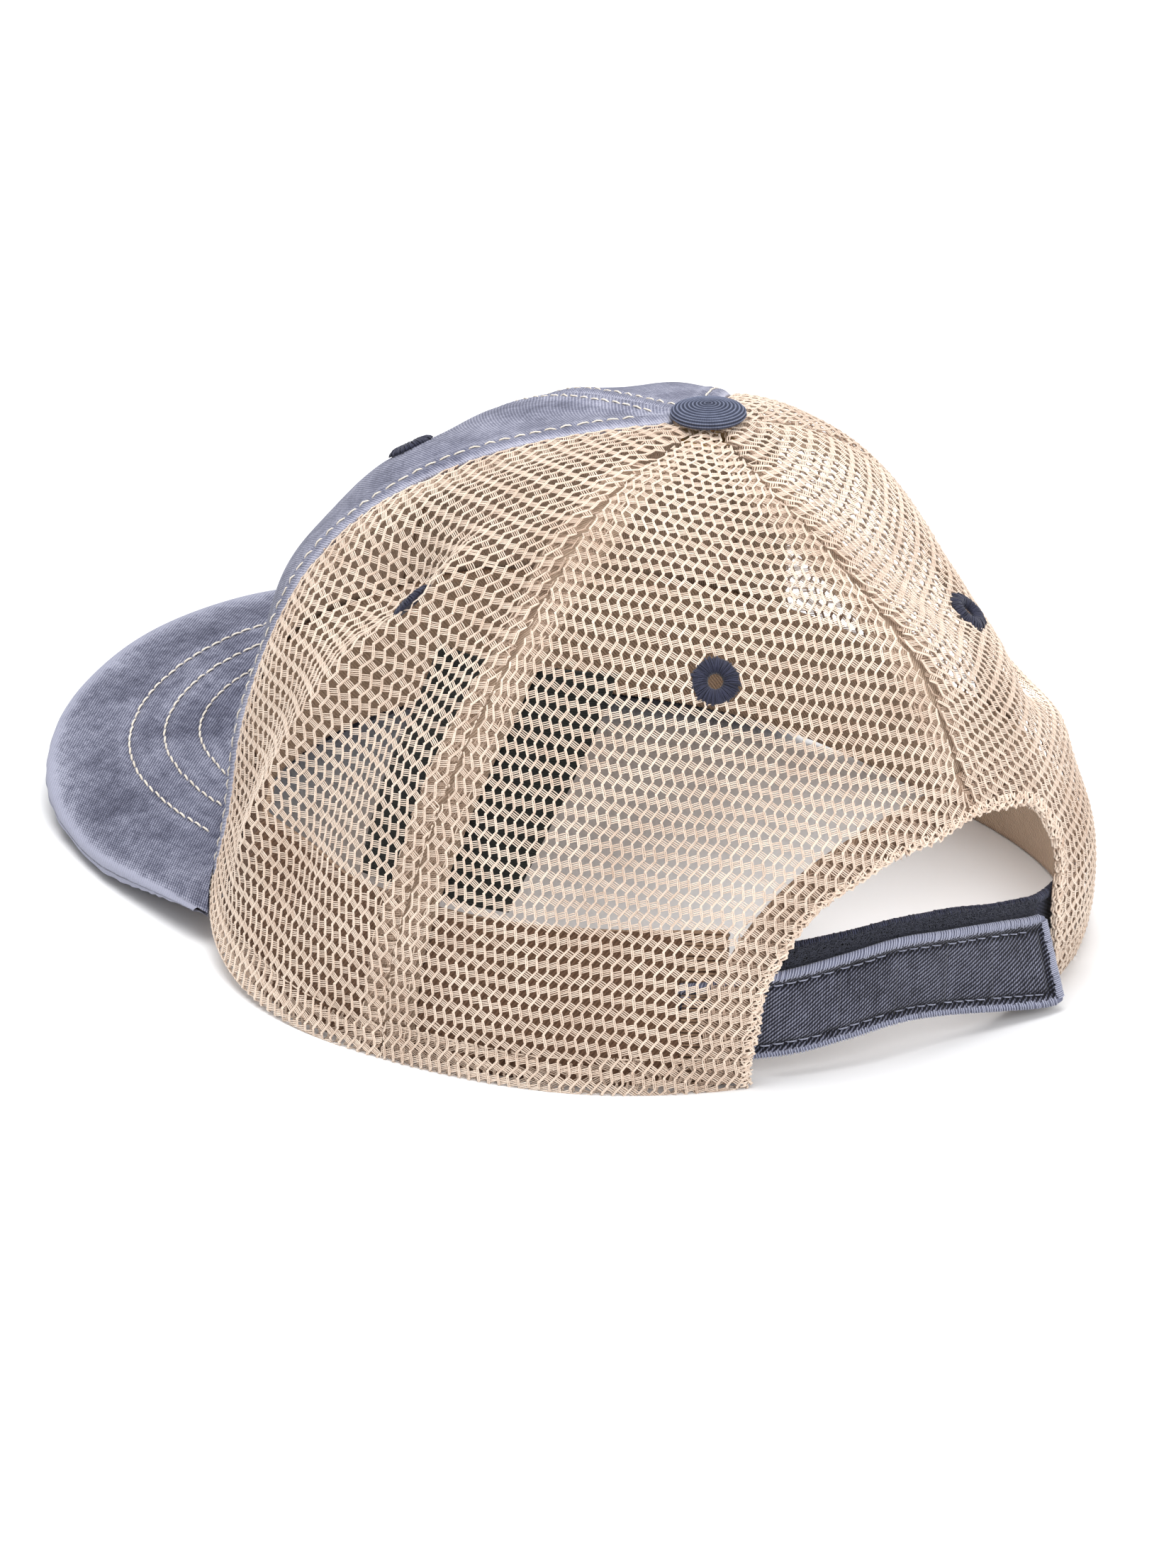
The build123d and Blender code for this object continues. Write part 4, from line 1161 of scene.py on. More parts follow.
def make_seam_tapes():
    """Tapes inside the crown over seams 0 to 5; the rear one starts above the opening."""
    aside, rise = np.meshgrid(np.linspace(-1, 1, 15), np.linspace(0, 1, 121), indexing="ij")
    relief = (-0.25 * np.cos(aside * np.pi) + 0.12 * np.sin(rise * 55 + aside * 2)) * 0.6
    for k, place in enumerate(TAPES):
        up = ARCH_TOP + 4.0 if place == "rear_center" else TAPE_START
        low = float(level_up(float(seam(k, 0.1)), up))
        lev = low + rise * (0.925 - low)
        middle = seam(k, lev)
        half = np.minimum(np.degrees(TAPE_HALF / apex_radius(middle, lev)), 27)
        name = "seam_tape_" + place
        sheet(name + "_cloth", middle + half * aside, lev, (1.95, 2.45), MAT["tape"],
              name, (aside * TAPE_HALF, rise * 150), relief=relief)


# ------------------------------------------------------------------ rear opening


def rear_place(x, z):
    """Azimuth and level of a point of the rear wall given by x and height."""
    x, z = np.broadcast_arrays(np.asarray(x, float), np.asarray(z, float))
    low, high = np.full(x.shape, 110.0), np.full(x.shape, 250.0)
    for _ in range(26):
        mid = (low + high) / 2
        before = crown_pt(mid, level_at_z(mid, z))[..., 0] > x
        low, high = np.where(before, mid, low), np.where(before, high, mid)
    azim = (low + high) / 2
    return azim, level_at_z(azim, z)


def arch_curve(phi):
    """The opening's outline; phi runs from 0 at the wearer's left foot to pi."""
    cos, sin = np.cos(phi), np.sin(phi)
    return (ARCH_HALF * np.sign(cos) * np.abs(cos) ** (2 / ARCH_POW_X),
            ARCH_TOP * np.abs(sin) ** (2 / ARCH_POW_Z))


ARCH_PHI = np.linspace(0, np.pi, 2001)
ARCH_RUN = path_length(np.stack(arch_curve(ARCH_PHI), -1))
ARCH_LEN = ARCH_RUN[-1]


def arch_point(run, dist):
    """Azimuth and level at a length along the outline, dist outside it."""
    run, dist = np.broadcast_arrays(run, np.asarray(dist, float))
    x, z = arch_curve(np.interp(run, ARCH_RUN, ARCH_PHI))
    slope_x, slope_z = arch_slope(x, z)
    slope = np.hypot(slope_x, slope_z)
    x, z = x + dist * slope_x / slope, np.maximum(z + dist * slope_z / slope, 0.3)
    z = np.maximum(z * (1 - ARCH_SKEW * x), 0.3)
    return rear_place(ARCH_X + x * arch_leg(x, z), z)


def make_arch_tape():
    run, dist = np.meshgrid(np.linspace(0.5, ARCH_LEN - 0.5, 141), np.linspace(0.3, 9.0, 13),
                            indexing="ij")
    azim, lev = arch_point(run, dist)
    sheet("arch_tape_cloth", azim, lev, (1.2, 1.7), MAT["arch_tape"],
          "rear_arch_tape", (run, dist))


# yarns that run round the edge: distance outside it, zigzag, depth, radius
ARCH_YARNS = [(0.15, 0.62, 0.15, 0.26), (0.55, 0.55, -0.12, 0.22), (0.0, 0.5, 0.75, 0.26),
              (1.5, 0.6, -0.05, 0.17), (0.1, 0.45, 1.25, 0.24)]


def make_arch_edge():
    rng = np.random.default_rng(5)
    sets = []
    run = np.arange(0.4, ARCH_LEN - 0.4, 0.42)
    for dist, swing, depth, radius in ARCH_YARNS:
        phase = run / 1.35 + dist * 3
        away = (dist + swing * (2 * np.abs((phase % 2.0) - 1) - 1)
                + rng.normal(0, 0.10, len(run)) + 0.35 * np.sin(run / 3.1))
        azim, lev = arch_point(run, away)
        under = (depth + 0.15 * np.sin(run / 1.35 * np.pi * 2 + 1)
                 + rng.normal(0, 0.05, len(run)))
        tint = 1 + 0.2 * np.sin(run * 2.1) + rng.normal(0, 0.1, len(run))
        sets.append(tube(surf(azim, lev, under)[None], crown_nrm(azim, lev)[None],
                         radius * (1 + 0.2 * np.sin(run * 2.3))[None], radius,
                         np.clip(tint, 0.3, 1.7)[None], sides=6))
    # whipped turns over the edge
    run = np.arange(0.6, ARCH_LEN - 0.6, 1.15)
    n = len(run)
    frac = np.array([0, 0.25, 0.5, 0.75, 1.0])
    away = np.array([1.9, 0.9, -0.25, 0.7, 1.5]) + rng.normal(0, 0.15, (n, 5))
    run = run[:, None] + (frac - 0.5) * 1.1 + rng.normal(0, 0.12, (n, 1))
    azim, lev = arch_point(np.clip(run, 0.2, ARCH_LEN - 0.2), away)
    under = np.array([-0.22, -0.28, 0.5, 1.35, 1.5]) + rng.normal(0, 0.05, (n, 5))
    sets.append(tube(surf(azim, lev, under), crown_nrm(azim, lev), 0.17, 0.17,
                     tones(rng, n, spread=0.25, low=0.3, high=1.7)))
    thread_object("arch_edge_yarn", sets, MAT["knit"])


# ------------------------------------------------------------------ sweatband and label
SWEAT_END = 144.6                   # azimuth of the band's two ends, either side of the back
SWEAT_LOW, SWEAT_WIDE = 1.0, 33.0   # its lower edge above the hem, and its width


def make_sweatband():
    share, rise = unit_grid(241, 33)
    azim = (-SWEAT_END + 2 * SWEAT_END * share) % 360
    lev = level_up(azim, SWEAT_LOW + SWEAT_WIDE * rise)
    relief = (-0.2 * np.sin(rise * np.pi) + 0.175 * np.sin(share * 95) * np.sin(rise * 3.1)
              - 0.35 * bell(rise - 0.94, 0.02)
              + 0.3 * bell(np.minimum(share, 1 - share), 0.006))
    run = path_length(crown_pt(azim[:, 10], lev[:, 10]))
    inner = 3.65 + 0.5 * bell(rise - 0.97, 0.05)
    sheet("sweatband_cloth", azim, lev, (2.75, inner), [MAT["sweat"], MAT["sweat_in"]],
          "sweatband", (run[:, None], SWEAT_WIDE * rise), relief=relief)

    # overlock over the two cut ends: each turn's azimuth, height and depth
    turn_azim = np.array([-4.6, -2.6, -0.7, 0.55, 0.7, -0.7, -2.4])
    turn_up = np.array([0.35, 0.2, 0.1, 0, 0, -0.1, -0.2])
    turn_depth = np.array([2.6, 2.35, 2.35, 2.9, 3.6, 4.1, 3.9])
    sets = []
    for end, way in ((SWEAT_END, 1), (360 - SWEAT_END, -1)):
        up = np.arange(1.0, 34.2, 0.78)
        n = len(up)
        azim = end + way * turn_azim + RNG.normal(0, 0.06, (n, 1))
        lev = level_up(azim, up[:, None] + turn_up + RNG.normal(0, 0.05, (n, 1)))
        depth = turn_depth + RNG.normal(0, 0.04, (n, 1))
        sets.append(tube(surf(azim, lev, depth), crown_nrm(azim, lev), 0.30, 0.30,
                         tones(RNG, n, spread=0.15, low=0.4, high=1.6), sides=6))
    thread_object("sweatband_end_overlock", sets, MAT["overlock"])

    # row of stitches along the top edge, on the inside
    azim = np.arange(-SWEAT_END + 2, SWEAT_END - 2, 0.25) % 360
    lev = level_up(azim, 32.0)
    row = stitch_row(surf(azim, lev, 3.75), -crown_nrm(azim, lev), length=2.6, gap=0.8,
                     radius=0.17, lift=0.05, sides=4)
    thread_object("sweatband_stitch", [row], MAT["stitch_tan"])


def make_label():
    """Satin label inside the left of the crown, narrower at its lower edge."""
    width, height = 54, 51
    share, rise = unit_grid(41, 45)
    azim = 97 + 33 * share * (1 - 0.31 * (1 - rise))
    sheet("inner_label_cloth", azim, level_up(azim, 36 + height * rise), (2.8, 3.3),
          MAT["label"], "inner_label", (share * width, rise * height),
          relief=0.05 * np.sin(rise * 9 + share * 4), body="label")


# ------------------------------------------------------------------ eyelets
EYE_INNER, EYE_OUTER = 1.62, 4.75              # radii the threads reach
RING_MID, RING_HALF, RING_TALL = 3.15, 1.5, 0.72  # the ring under the threads
EYE_SAG_R = 75.0                               # how the crown curves away round an eyelet


def eye_frame(azim, length):
    """Centre, normal and two tangents of the slumped crown at an eyelet."""
    lev = float(exact_level(azim, length))
    x = surf(azim + 2.2, lev) - surf(azim - 2.2, lev)
    y = surf(azim, lev + 0.02) - surf(azim, lev - 0.02)
    nrm = np.cross(x, y)
    nrm /= np.linalg.norm(nrm)
    nrm *= np.sign(nrm @ crown_nrm(azim, lev))
    x -= nrm * (x @ nrm)
    x /= np.linalg.norm(x)
    return surf(azim, lev), nrm, x, np.cross(nrm, x)


def make_eyelet(k):
    """Radial threads over a ring."""
    azim, length, name = EYES[k]
    centre, nrm, right, above = eye_frame(azim, length)
    rng = np.random.default_rng(40 + k)

    def drape(radius, angle, height):
        flat = (centre + (radius * np.cos(angle))[..., None] * right
                + (radius * np.sin(angle))[..., None] * above)
        return flat + (height - radius**2 / (2 * EYE_SAG_R))[..., None] * nrm

    n = 96
    angle = np.arange(n) * 2 * np.pi / n + rng.normal(0, 0.015, n)
    outer = EYE_OUTER + rng.normal(0, 0.20, n) + 0.15 * np.sin(angle * 3 + k)
    inner = EYE_INNER + rng.normal(0, 0.06, n)
    frac = np.array([0.0, 0.10, 0.35, 0.65, 0.9, 1.0])
    radius = inner[:, None] + (outer - inner)[:, None] * frac
    height = np.array([-0.5, 0.45, 0.95, 0.85, 0.45, 0.0]) + rng.normal(0, 0.05, (n, 1))
    angle = (angle[:, None] + rng.normal(0, 0.02, (n, 1))
             + (frac - 0.5) * rng.normal(0.05, 0.05, (n, 1)))
    threads = tube(drape(radius, angle, height), nrm, 0.19 * (0.55 + 0.6 * frac), 0.17,
                   tones(rng, n, spread=0.35))

    around, section = 64, 12
    angle = (np.arange(around) * 2 * np.pi / around)[:, None]
    phi = np.linspace(0, 2 * np.pi, section + 1)[:-1] + 0 * angle
    verts = drape(RING_MID + RING_HALF * np.cos(phi), angle + 0 * phi,
                  0.05 + RING_TALL * np.sin(phi)).reshape(-1, 3)
    i = np.arange(around * section).reshape(around, section)
    j = np.roll(i, -1, 0)
    faces = np.stack([i, j, np.roll(j, -1, 1), np.roll(i, -1, 1)], -1).reshape(-1, 4)
    corner = verts[faces[0]]
    core = drape(np.array(RING_MID), np.array(0.0), np.array(0.05))
    if np.cross(corner[1] - corner[0], corner[3] - corner[0]) @ (corner.mean(0) - core) < 0:
        faces = faces[:, ::-1]
    thread_object("eyelet_threads_" + name, [threads, (verts, faces, np.full(len(verts), 0.7))],
                  MAT["eyelet"], ["eyelet_" + name])


# ------------------------------------------------------------------ top button
BUTTON_TALL, BUTTON_UP, DOME_R = 2.4, 1.1, 20.0  # height, lift above the apex, dome radius
DOME_RUN, ROLL_RUN, COVER_RUN = 6.9, 3.1, 12.6   # profile lengths: dome, rolled rim, whole
RIB_PITCH, RIB_TALL = 0.82, 0.13


def make_button():
    """Domed button cover with concentric ribs; its profile runs from the middle outwards."""
    rings, around = 150, 128
    run = np.linspace(0, 1, rings) * COVER_RUN
    dome_r = run * 0.985
    roll = np.clip((run - DOME_RUN) / ROLL_RUN, 0.0, 1.0) * 2.6
    under = np.maximum(run - (DOME_RUN + ROLL_RUN), 0)
    rim_r = DOME_RUN * 0.985 + 1.02 * np.sin(roll) - under * 1.4
    rim_z = (BUTTON_TALL - (6.8**2) / (2 * DOME_R) - 0.86 * (1 - np.cos(roll)) - 0.15 * roll
             - under * 0.35)
    on_dome = run <= DOME_RUN
    radius = np.where(on_dome, dome_r, rim_r)
    height = np.where(on_dome, BUTTON_TALL - dome_r**2 / (2 * DOME_R), rim_z) + BUTTON_UP
    ripple = 0.5 + 0.5 * np.cos(2 * np.pi * run / RIB_PITCH)
    nrm = unit(np.stack([-np.gradient(height), np.gradient(radius)], -1))
    push = RIB_TALL * (run < 9.6) * (ripple - 0.5) * 2
    radius = np.maximum(radius + nrm[:, 0] * push, 0.0)
    radius[0] = 0.03
    height = height + nrm[:, 1] * push
    angle = np.arange(around) * 2 * np.pi / around
    apex = crown_pt(0.0, 1.0)
    verts = np.stack([radius[:, None] * np.cos(angle) + apex[0],
                      radius[:, None] * np.sin(angle) + apex[1],
                      height[:, None] + 0 * angle + apex[2]], -1).reshape(-1, 3)
    i = np.arange(rings * around).reshape(rings, around)
    j = np.roll(i, -1, 1)
    faces = np.stack([i[:-1], i[1:], j[1:], j[:-1]], -1).reshape(-1, 4)
    flat = np.stack([run[:, None] * np.cos(angle), run[:, None] * np.sin(angle),
                     0 * run[:, None] * angle], -1).reshape(-1, 3)
    ob = build("button_cloth_cover", verts, faces, MAT["button"],
               {"fab": flat, "wear": np.repeat(ripple, around)})
    settle(ob, ["top_button"])


# ------------------------------------------------------------------ bill
# share runs from -1 (wearer's right) to 1 (left) across the bill
BILL_ROOT = 66.0                   # azimuth where the bill leaves the hem
BILL_HALF, BILL_TIP_Y = 82.7, -152.5
BILL_TIP_Z, BILL_SIDE_Z = 17.6, 1.8
BILL_POW_X, BILL_POW_Y = 2.0, 3.5  # superellipse powers of the outline
BILL_THICK = 1.62                  # half the thickness
ROOT_LEFT, ROOT_RIGHT = crown(BILL_ROOT, 0.0), crown(-BILL_ROOT, 0.0)
ROW_COUNT, ROW_FIRST, ROW_PITCH = 6, 17.0, 7.7  # stitch rows, measured in from the outline
ROW_STEP = 0.5
UPWARD = np.array([0, 0, 1.0])


def bill_root(share):
    azim = BILL_ROOT * share % 360
    return crown_pt(azim, 0 * share) + 0.6 * crown_nrm(azim, 0 * share) * np.array([1, 1, 0])


def bill_outer(share):
    angle = share * np.pi / 2
    side = np.sign(np.sin(angle)) * np.abs(np.sin(angle)) ** (2 / BILL_POW_X)
    ahead = np.abs(np.cos(angle)) ** (2 / BILL_POW_Y)
    root = np.where((share > 0)[..., None], ROOT_LEFT, ROOT_RIGHT)
    pts = np.stack([BILL_HALF * side, root[..., 1] + (BILL_TIP_Y - root[..., 1]) * ahead,
                    BILL_TIP_Z - (BILL_TIP_Z - BILL_SIDE_Z) * np.abs(side) ** 2], -1)
    corner = np.clip((np.abs(share) - 0.80) / 0.20, 0, 1) ** 2
    for axis in (0, 2):
        pts[..., axis] = pts[..., axis] * (1 - corner) + root[..., axis] * corner
    return pts


def bill_mid(share, out):
    """Middle surface of the bill, out from 0 at the crown to 1 at the edge."""
    root = bill_root(share)
    pts = root + (bill_outer(share) - root) * out[..., None]
    pts[..., 2] += 1.8 * np.sin(np.pi * np.clip(out, 0, 1)) * (1 - share**2)
    return pts


def bill_rows():
    """Stitch rows as smoothed offset curves of the outline, in x and y."""
    outline = bill_outer(np.linspace(-0.985, 0.985, 1600))[:, :2]
    along = unit(np.gradient(outline, axis=0))
    outward = np.stack([along[:, 1], -along[:, 0]], -1)
    outward *= np.sign((outward * (outline - np.array([0, -70.0]))).sum(-1, keepdims=True))
    weights = bell(np.arange(-24, 25) * ROW_STEP, 4.5)
    weights /= weights.sum()
    rows = []
    for i in range(ROW_COUNT):
        dist = ROW_FIRST + ROW_PITCH * i
        row = outline - outward * dist
        nearest = np.array([np.sqrt(((outline - p) ** 2).sum(1).min()) for p in row])
        row = row[nearest > dist - 0.15]
        run = path_length(row)
        moved = np.r_[True, np.diff(run) > 1e-6]
        run, row = run[moved], row[moved]
        steps = np.arange(0, run[-1], ROW_STEP)
        row = np.stack([np.interp(steps, run, row[:, c]) for c in range(2)], -1)
        padded = np.concatenate([2 * row[:1] - row[24:0:-1], row,
                                 2 * row[-1:] - row[-2:-26:-1]])
        rows.append(np.stack([np.convolve(padded[:, c], weights, "valid") for c in range(2)],
                             -1))
    return rows


def drop_on(tree, row, upper):
    """Points and normals where a row falls on the upper or the lower face; nan if missed."""
    pts, nrms = [], []
    for x, y in row:
        hit, nrm, _, _ = tree.ray_cast(Vector((x, y, 80 if upper else -80)),
                                       Vector((0, 0, -1 if upper else 1)))
        if hit is None:
            pts.append([np.nan] * 3)
            nrms.append([np.nan] * 3)
        else:
            nrm = np.array(nrm)
            pts.append(list(hit))
            nrms.append(list(nrm if (nrm[2] > 0) == upper else -nrm))
    return np.array(pts), np.array(nrms)


def row_distance(pts, rows, edge_dist):
    """Distance from the nearest stitch row, far within 10 mm of the edge."""
    marks = np.array([p for row in rows for p in row[::2]])
    tree = KDTree(len(marks))
    for i, (x, y) in enumerate(marks):
        tree.insert((x, y, 0), i)
    tree.balance()
    dist = np.full(pts.shape[:2], 99.0)
    for i, j in zip(*np.nonzero(np.abs(edge_dist) > 10)):
        dist[i, j] = tree.find((pts[i, j, 0], pts[i, j, 1], 0))[2]
    return dist


def make_bill_cover(rows):
    """Denim over the bill in one strip: top from the crown, round the edge, back beneath.
    Returns vertices and faces."""
    n_share, n_out = 321, 90
    share = np.linspace(-1, 1, n_share)
    share = np.sign(share) * (1 - (1 - np.abs(share)) ** 1.25) * 0.998
    base = bill_mid(*np.meshgrid(share, np.linspace(-0.03, 0.97, n_out), indexing="ij"))
    edge = bill_mid(share, np.ones(n_share))
    along = np.gradient(edge, axis=0)
    along /= np.linalg.norm(along, axis=-1, keepdims=True)
    outward = np.stack([along[:, 1], -along[:, 0], 0 * along[:, 0]], -1)
    outward /= np.linalg.norm(outward, axis=-1, keepdims=True)
    outward *= np.sign((outward * (edge - np.array([0, -60.0, 0]))).sum(-1, keepdims=True))
    thick = BILL_THICK * np.sqrt(np.clip((1 - np.abs(share)) / 0.07, 0.06, 1))
    half = thick[:, None, None] * UPWARD
    ring = np.stack([edge + outward * (0.15 + 1.1 * np.cos(a))
                     + UPWARD * thick[:, None] * np.sin(a)
                     for a in np.linspace(80, -80, 15) * np.pi / 180], 1)
    pts = np.concatenate([base + half, ring, (base - half)[:, ::-1]], 1)
    n_across = pts.shape[1]

    steps = np.linalg.norm(np.diff(pts, axis=1), axis=2)
    arc = np.concatenate([np.zeros((n_share, 1)), np.cumsum(steps, axis=1)], 1)
    edge_dist = arc[:, n_out + 7][:, None] - arc  # positive on the top side
    flat = np.stack([pts[..., 0], pts[..., 1] * np.where(edge_dist > 0, 1, -1),
                     0 * pts[..., 0]], -1).reshape(-1, 3)
    wear = bell(edge_dist, 3.0) + 0.30 * bell(edge_dist - 4, 4.5)
    nrm = unit(np.cross(np.gradient(pts, axis=0), np.gradient(pts, axis=1)))
    if nrm[n_share // 2, 20, 2] < 0:
        nrm = -nrm
    # ribbing along the edge, and slightly uneven cloth
    ribs = np.sin(path_length(edge)[:, None] * 2 * np.pi / 0.95)
    relief = (0.16 * bell(edge_dist + 0.9, 1.3) * ribs
              + 0.14 * np.sin(pts[..., 0] * 0.13 + 1.0) * np.sin(pts[..., 1] * 0.17))
    pts = pts + nrm * relief[..., None]
    # each stitch row draws the cloth in
    from_row = row_distance(pts, rows, edge_dist)
    pts = pts + nrm * (-0.30 * bell(from_row, 0.9))[..., None]
    wear = np.clip(wear + 0.16 * bell(from_row - 1.8, 1.3), 0, 1)

    verts = pts.reshape(-1, 3)
    faces = grid_faces(n_share, n_across)
    corner = verts[faces[(n_share // 2) * (n_across - 1) + 20]]
    if np.cross(corner[1] - corner[0], corner[3] - corner[0])[2] < 0:
        faces = faces[:, ::-1]
    # this draw is not used; it holds the place of the later ones in the random sequence
    RNG.normal(0, 1, (n_share, 1))
    ob = build("bill_denim_cover", verts, faces, MAT["bill_denim"],
               {"fab": flat, "wear": wear.reshape(-1)})
    settle(ob, ["bill_top_cover", "bill_under_cover"])
    return verts, faces


def make_bill():
    rows = bill_rows()
    verts, faces = make_bill_cover(rows)
    tree = BVHTree.FromPolygons(verts.tolist(), faces.tolist())
    root = bill_root(np.linspace(-1, 1, 200))[:, :2]
    sets = []
    for row in rows:
        clear = np.array([np.sqrt(((root - p) ** 2).sum(1).min()) for p in row]) > 1.2
        for upper in (True, False):
            pts, nrms = drop_on(tree, row, upper)
            kept = np.where(~np.isnan(pts[:, 0]) & clear)[0]
            for run in np.split(kept, np.where(np.diff(kept) > 1)[0] + 1):
                if len(run) > 20:
                    sets.append(stitch_row(pts[run], nrms[run], length=2.7, gap=0.45,
                                           radius=0.24, lift=0.22 if upper else 0.15,
                                           skew=0.15, rise=0.12))
    thread_object("bill_stitch_rows", sets, MAT["stitch"])


def dress_hard_parts():
    """The bill's board and the button's rivet and washer keep their own solids."""
    for node, mat in (("bill_board", "board"), ("button_rivet", "brass"),
                      ("button_washer", "brass")):
        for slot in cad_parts[node].material_slots:
            slot.link = "OBJECT"
            slot.material = MAT[mat]


def make_front_hem_stitch():
    azim = np.linspace(-64, 64, 700) % 360
    lev = level_up(azim, 1.1)
    row = stitch_row(surf(azim, lev, -0.05), crown_nrm(azim, lev), length=2.6, gap=0.6,
                     radius=0.18, lift=0.10)
    thread_object("front_hem_stitch", [row], MAT["stitch"])


# ------------------------------------------------------------------ closure straps
# Places along the straps are lengths round the rear wall at height 10, growing towards -X.
RIM_AZIM = np.linspace(125, 240, 801)
RIM_PTS = crown_pt(RIM_AZIM, level_at_z(RIM_AZIM, 10.0))
RIM_RUN = path_length(RIM_PTS)


def rim_azim(x):
    return np.interp(-np.asarray(x, float), -RIM_PTS[:, 0], RIM_AZIM)


def rim_run(x):
    return np.interp(-np.asarray(x, float), -RIM_PTS[:, 0], RIM_RUN)


STRAP_WIDE = 19.5
# x of each strap's ends and joints, from its root
STRAP_X = [53.5, 30.0, 17.0, 4.5, -8.0, -20.0, -31.0]
UNDER_X = [-50.0, -30.0, -15.0, 0.0, 15.0, 36.0]
STRAP_JOINTS = [rim_run(x) for x in STRAP_X]
UNDER_JOINTS = [rim_run(x) for x in UNDER_X]
RUN_ROOT, RUN_END = STRAP_JOINTS[0], STRAP_JOINTS[-1]
GROOVE = 2.9     # the stitched groove's distance from the strap's edges
X_GRID = np.linspace(60, -60, 2401)
RUN_GRID = rim_run(X_GRID)


def x_at(run):
    return np.interp(run, RUN_GRID, X_GRID)


def soft_curve(values):
    """A soft curve through values at STATION_X."""
    grid = np.linspace(62, -62, 249)
    y = np.interp(-grid, -np.array(STATION_X, float), values)
    weights = bell(np.arange(-20, 21), 8.0)
    y = np.convolve(np.pad(y, 20, mode="edge"), weights / weights.sum(), "valid")
    return lambda x: np.interp(-np.asarray(x, float), -grid, y)


STATION_X = [56, 44, 38, 30, 22, 14, 6, -2, -10, -18, -25, -31, -40, -52]
# height of the strap's lower edge
EDGE_Z = soft_curve([2.6, 3.5, 4.0, 4.8, 6.0, 7.1, 6.9, 5.6, 4.5, 3.2, 1.7, 0.7, 1.2, 1.6])
# lean of the strap and of the one behind it, lower edge outwards, in degrees
LEAN = soft_curve([-11, -9, -6, -3, -3, -3, -5, -5, 0, 5, 12, 17, 17, 17])
LEAN_UNDER = soft_curve([-11, -9, -6, -3, -3, -3, -5, -5, -3, -3, -4, -6, -8, -9])
# how far the strap behind stands above it
STAND = soft_curve([5.4, 5.4, 5.2, 4.4, 3.7, 3.2, 3.2, 3.8, 3.2, 2.7, 2.8, 2.4, 2.0, 2.0])


def place_strap(run, rise, depth, lean=LEAN):
    """Points and normals of a band that is straight across; rise is 0 to 1 over its width."""
    run, rise = np.broadcast_arrays(np.asarray(run, float), np.asarray(rise, float))
    x = x_at(run)
    along = run - RUN_ROOT
    ripple = 0.20 * np.sin(along * 0.14 + 0.5) + 0.08 * np.sin(along * 0.37)
    tilt = np.radians(lean(x))
    azim = rim_azim(x)
    lev = level_at_z(azim, EDGE_Z(x) + STRAP_WIDE)
    level_nrm = crown_nrm(azim, lev) * np.array([1, 1, 0])
    level_nrm /= np.linalg.norm(level_nrm, axis=-1, keepdims=True)
    cos, sin = np.cos(tilt)[..., None], np.sin(tilt)[..., None]
    nrm = cos * level_nrm + sin * UPWARD
    down = sin * level_nrm - cos * UPWARD
    pts = (crown_pt(azim, lev) + (STRAP_WIDE * (1 - rise))[..., None] * down
           - (depth - ripple)[..., None] * nrm)
    pts[..., 2] = np.maximum(pts[..., 2], 0.25)
    return pts, nrm


def cut_ranges(joints):
    """(start, end, joint) of the pieces: from mid segment to mid segment over one joint."""
    mids = [(a + b) / 2 for a, b in zip(joints, joints[1:])]
    starts = [joints[0]] + mids[1:-1]
    ends = mids[1:-1] + [joints[-1]]
    return list(zip(starts, ends, joints[1:-1]))


STRAP_CUTS = cut_ranges(STRAP_JOINTS)
UNDER_CUTS = cut_ranges(UNDER_JOINTS)
LAST = len(STRAP_CUTS) - 1


def bend(ob):
    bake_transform(ob)


def strap_relief(run, rise):
    """Height of the outer face and its tone, from the distance to the nearest edge: pale worn
    edges, and darker along the stitched groove.
    """
    up = rise * STRAP_WIDE
    dist = np.minimum(np.minimum(up, (1 - rise) * STRAP_WIDE), RUN_END - run)
    height = (0.35 * bell(dist - 0.9, 1.1) - 0.42 * bell(dist - GROOVE, 0.75)
              - 0.45 * bell(dist, 0.45)
              + 0.10 * np.sin(run * 0.6 + rise * 5) * bell(dist - 6, 5))
    # the cloth along the stitched groove is coloured darker than the plain cloth
    wear = 1.05 * (1 - ease(dist, 0.8, 2.0)) - 0.45 * bell(dist - GROOVE, 0.8)
    return height, np.clip(wear, -0.6, 1)


def trim_corners(run, rise):
    """Rounds the free end's corners by drawing its last millimetres in."""
    radius = 2.2
    dist = RUN_END - run
    arc = radius - np.sqrt(np.maximum(radius * radius - (radius - dist) ** 2, 0))
    cut = np.where(dist < radius, arc, 0)
    return np.clip(rise * STRAP_WIDE, cut, STRAP_WIDE - cut) / STRAP_WIDE


def make_strap():
    rises = np.concatenate([np.linspace(0, 0.16, 16), np.linspace(0.16, 0.84, 30)[1:],
                            np.linspace(0.84, 1, 16)[1:]])
    for i, cut in enumerate(STRAP_CUTS):
        start, end, _ = cut
        runs = np.linspace(start, end, max(int((end - start) / 0.42) + 1, 8))
        if i == LAST:
            close = np.array([0, 0.06, 0.15, 0.3, 0.5, 0.8, 1.2, 1.7, 2.2])
            runs = np.unique(np.concatenate([runs, RUN_END - close]))
        run, rise = np.meshgrid(runs, rises, indexing="ij")
        rise = trim_corners(run, rise)
        height, wear = strap_relief(run, rise)
        outer, _ = place_strap(run, rise, 1.45 - height)
        inner, _ = place_strap(run, rise, 2.34)
        ob = shell_object("strap_denim_%d" % (i + 1), outer, inner, -(run - RUN_ROOT),
                          rise * STRAP_WIDE, wear, MAT["strap_denim"])
        bend(ob)
        nodes = ["closure_strap_%d" % (i + 2)] + (["closure_strap_1"] if i == 0 else [])
        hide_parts(*nodes)


END_SCATTER = np.array([1.6, 1, 0, 0, 0, 1])  # how far each point of a turn strays


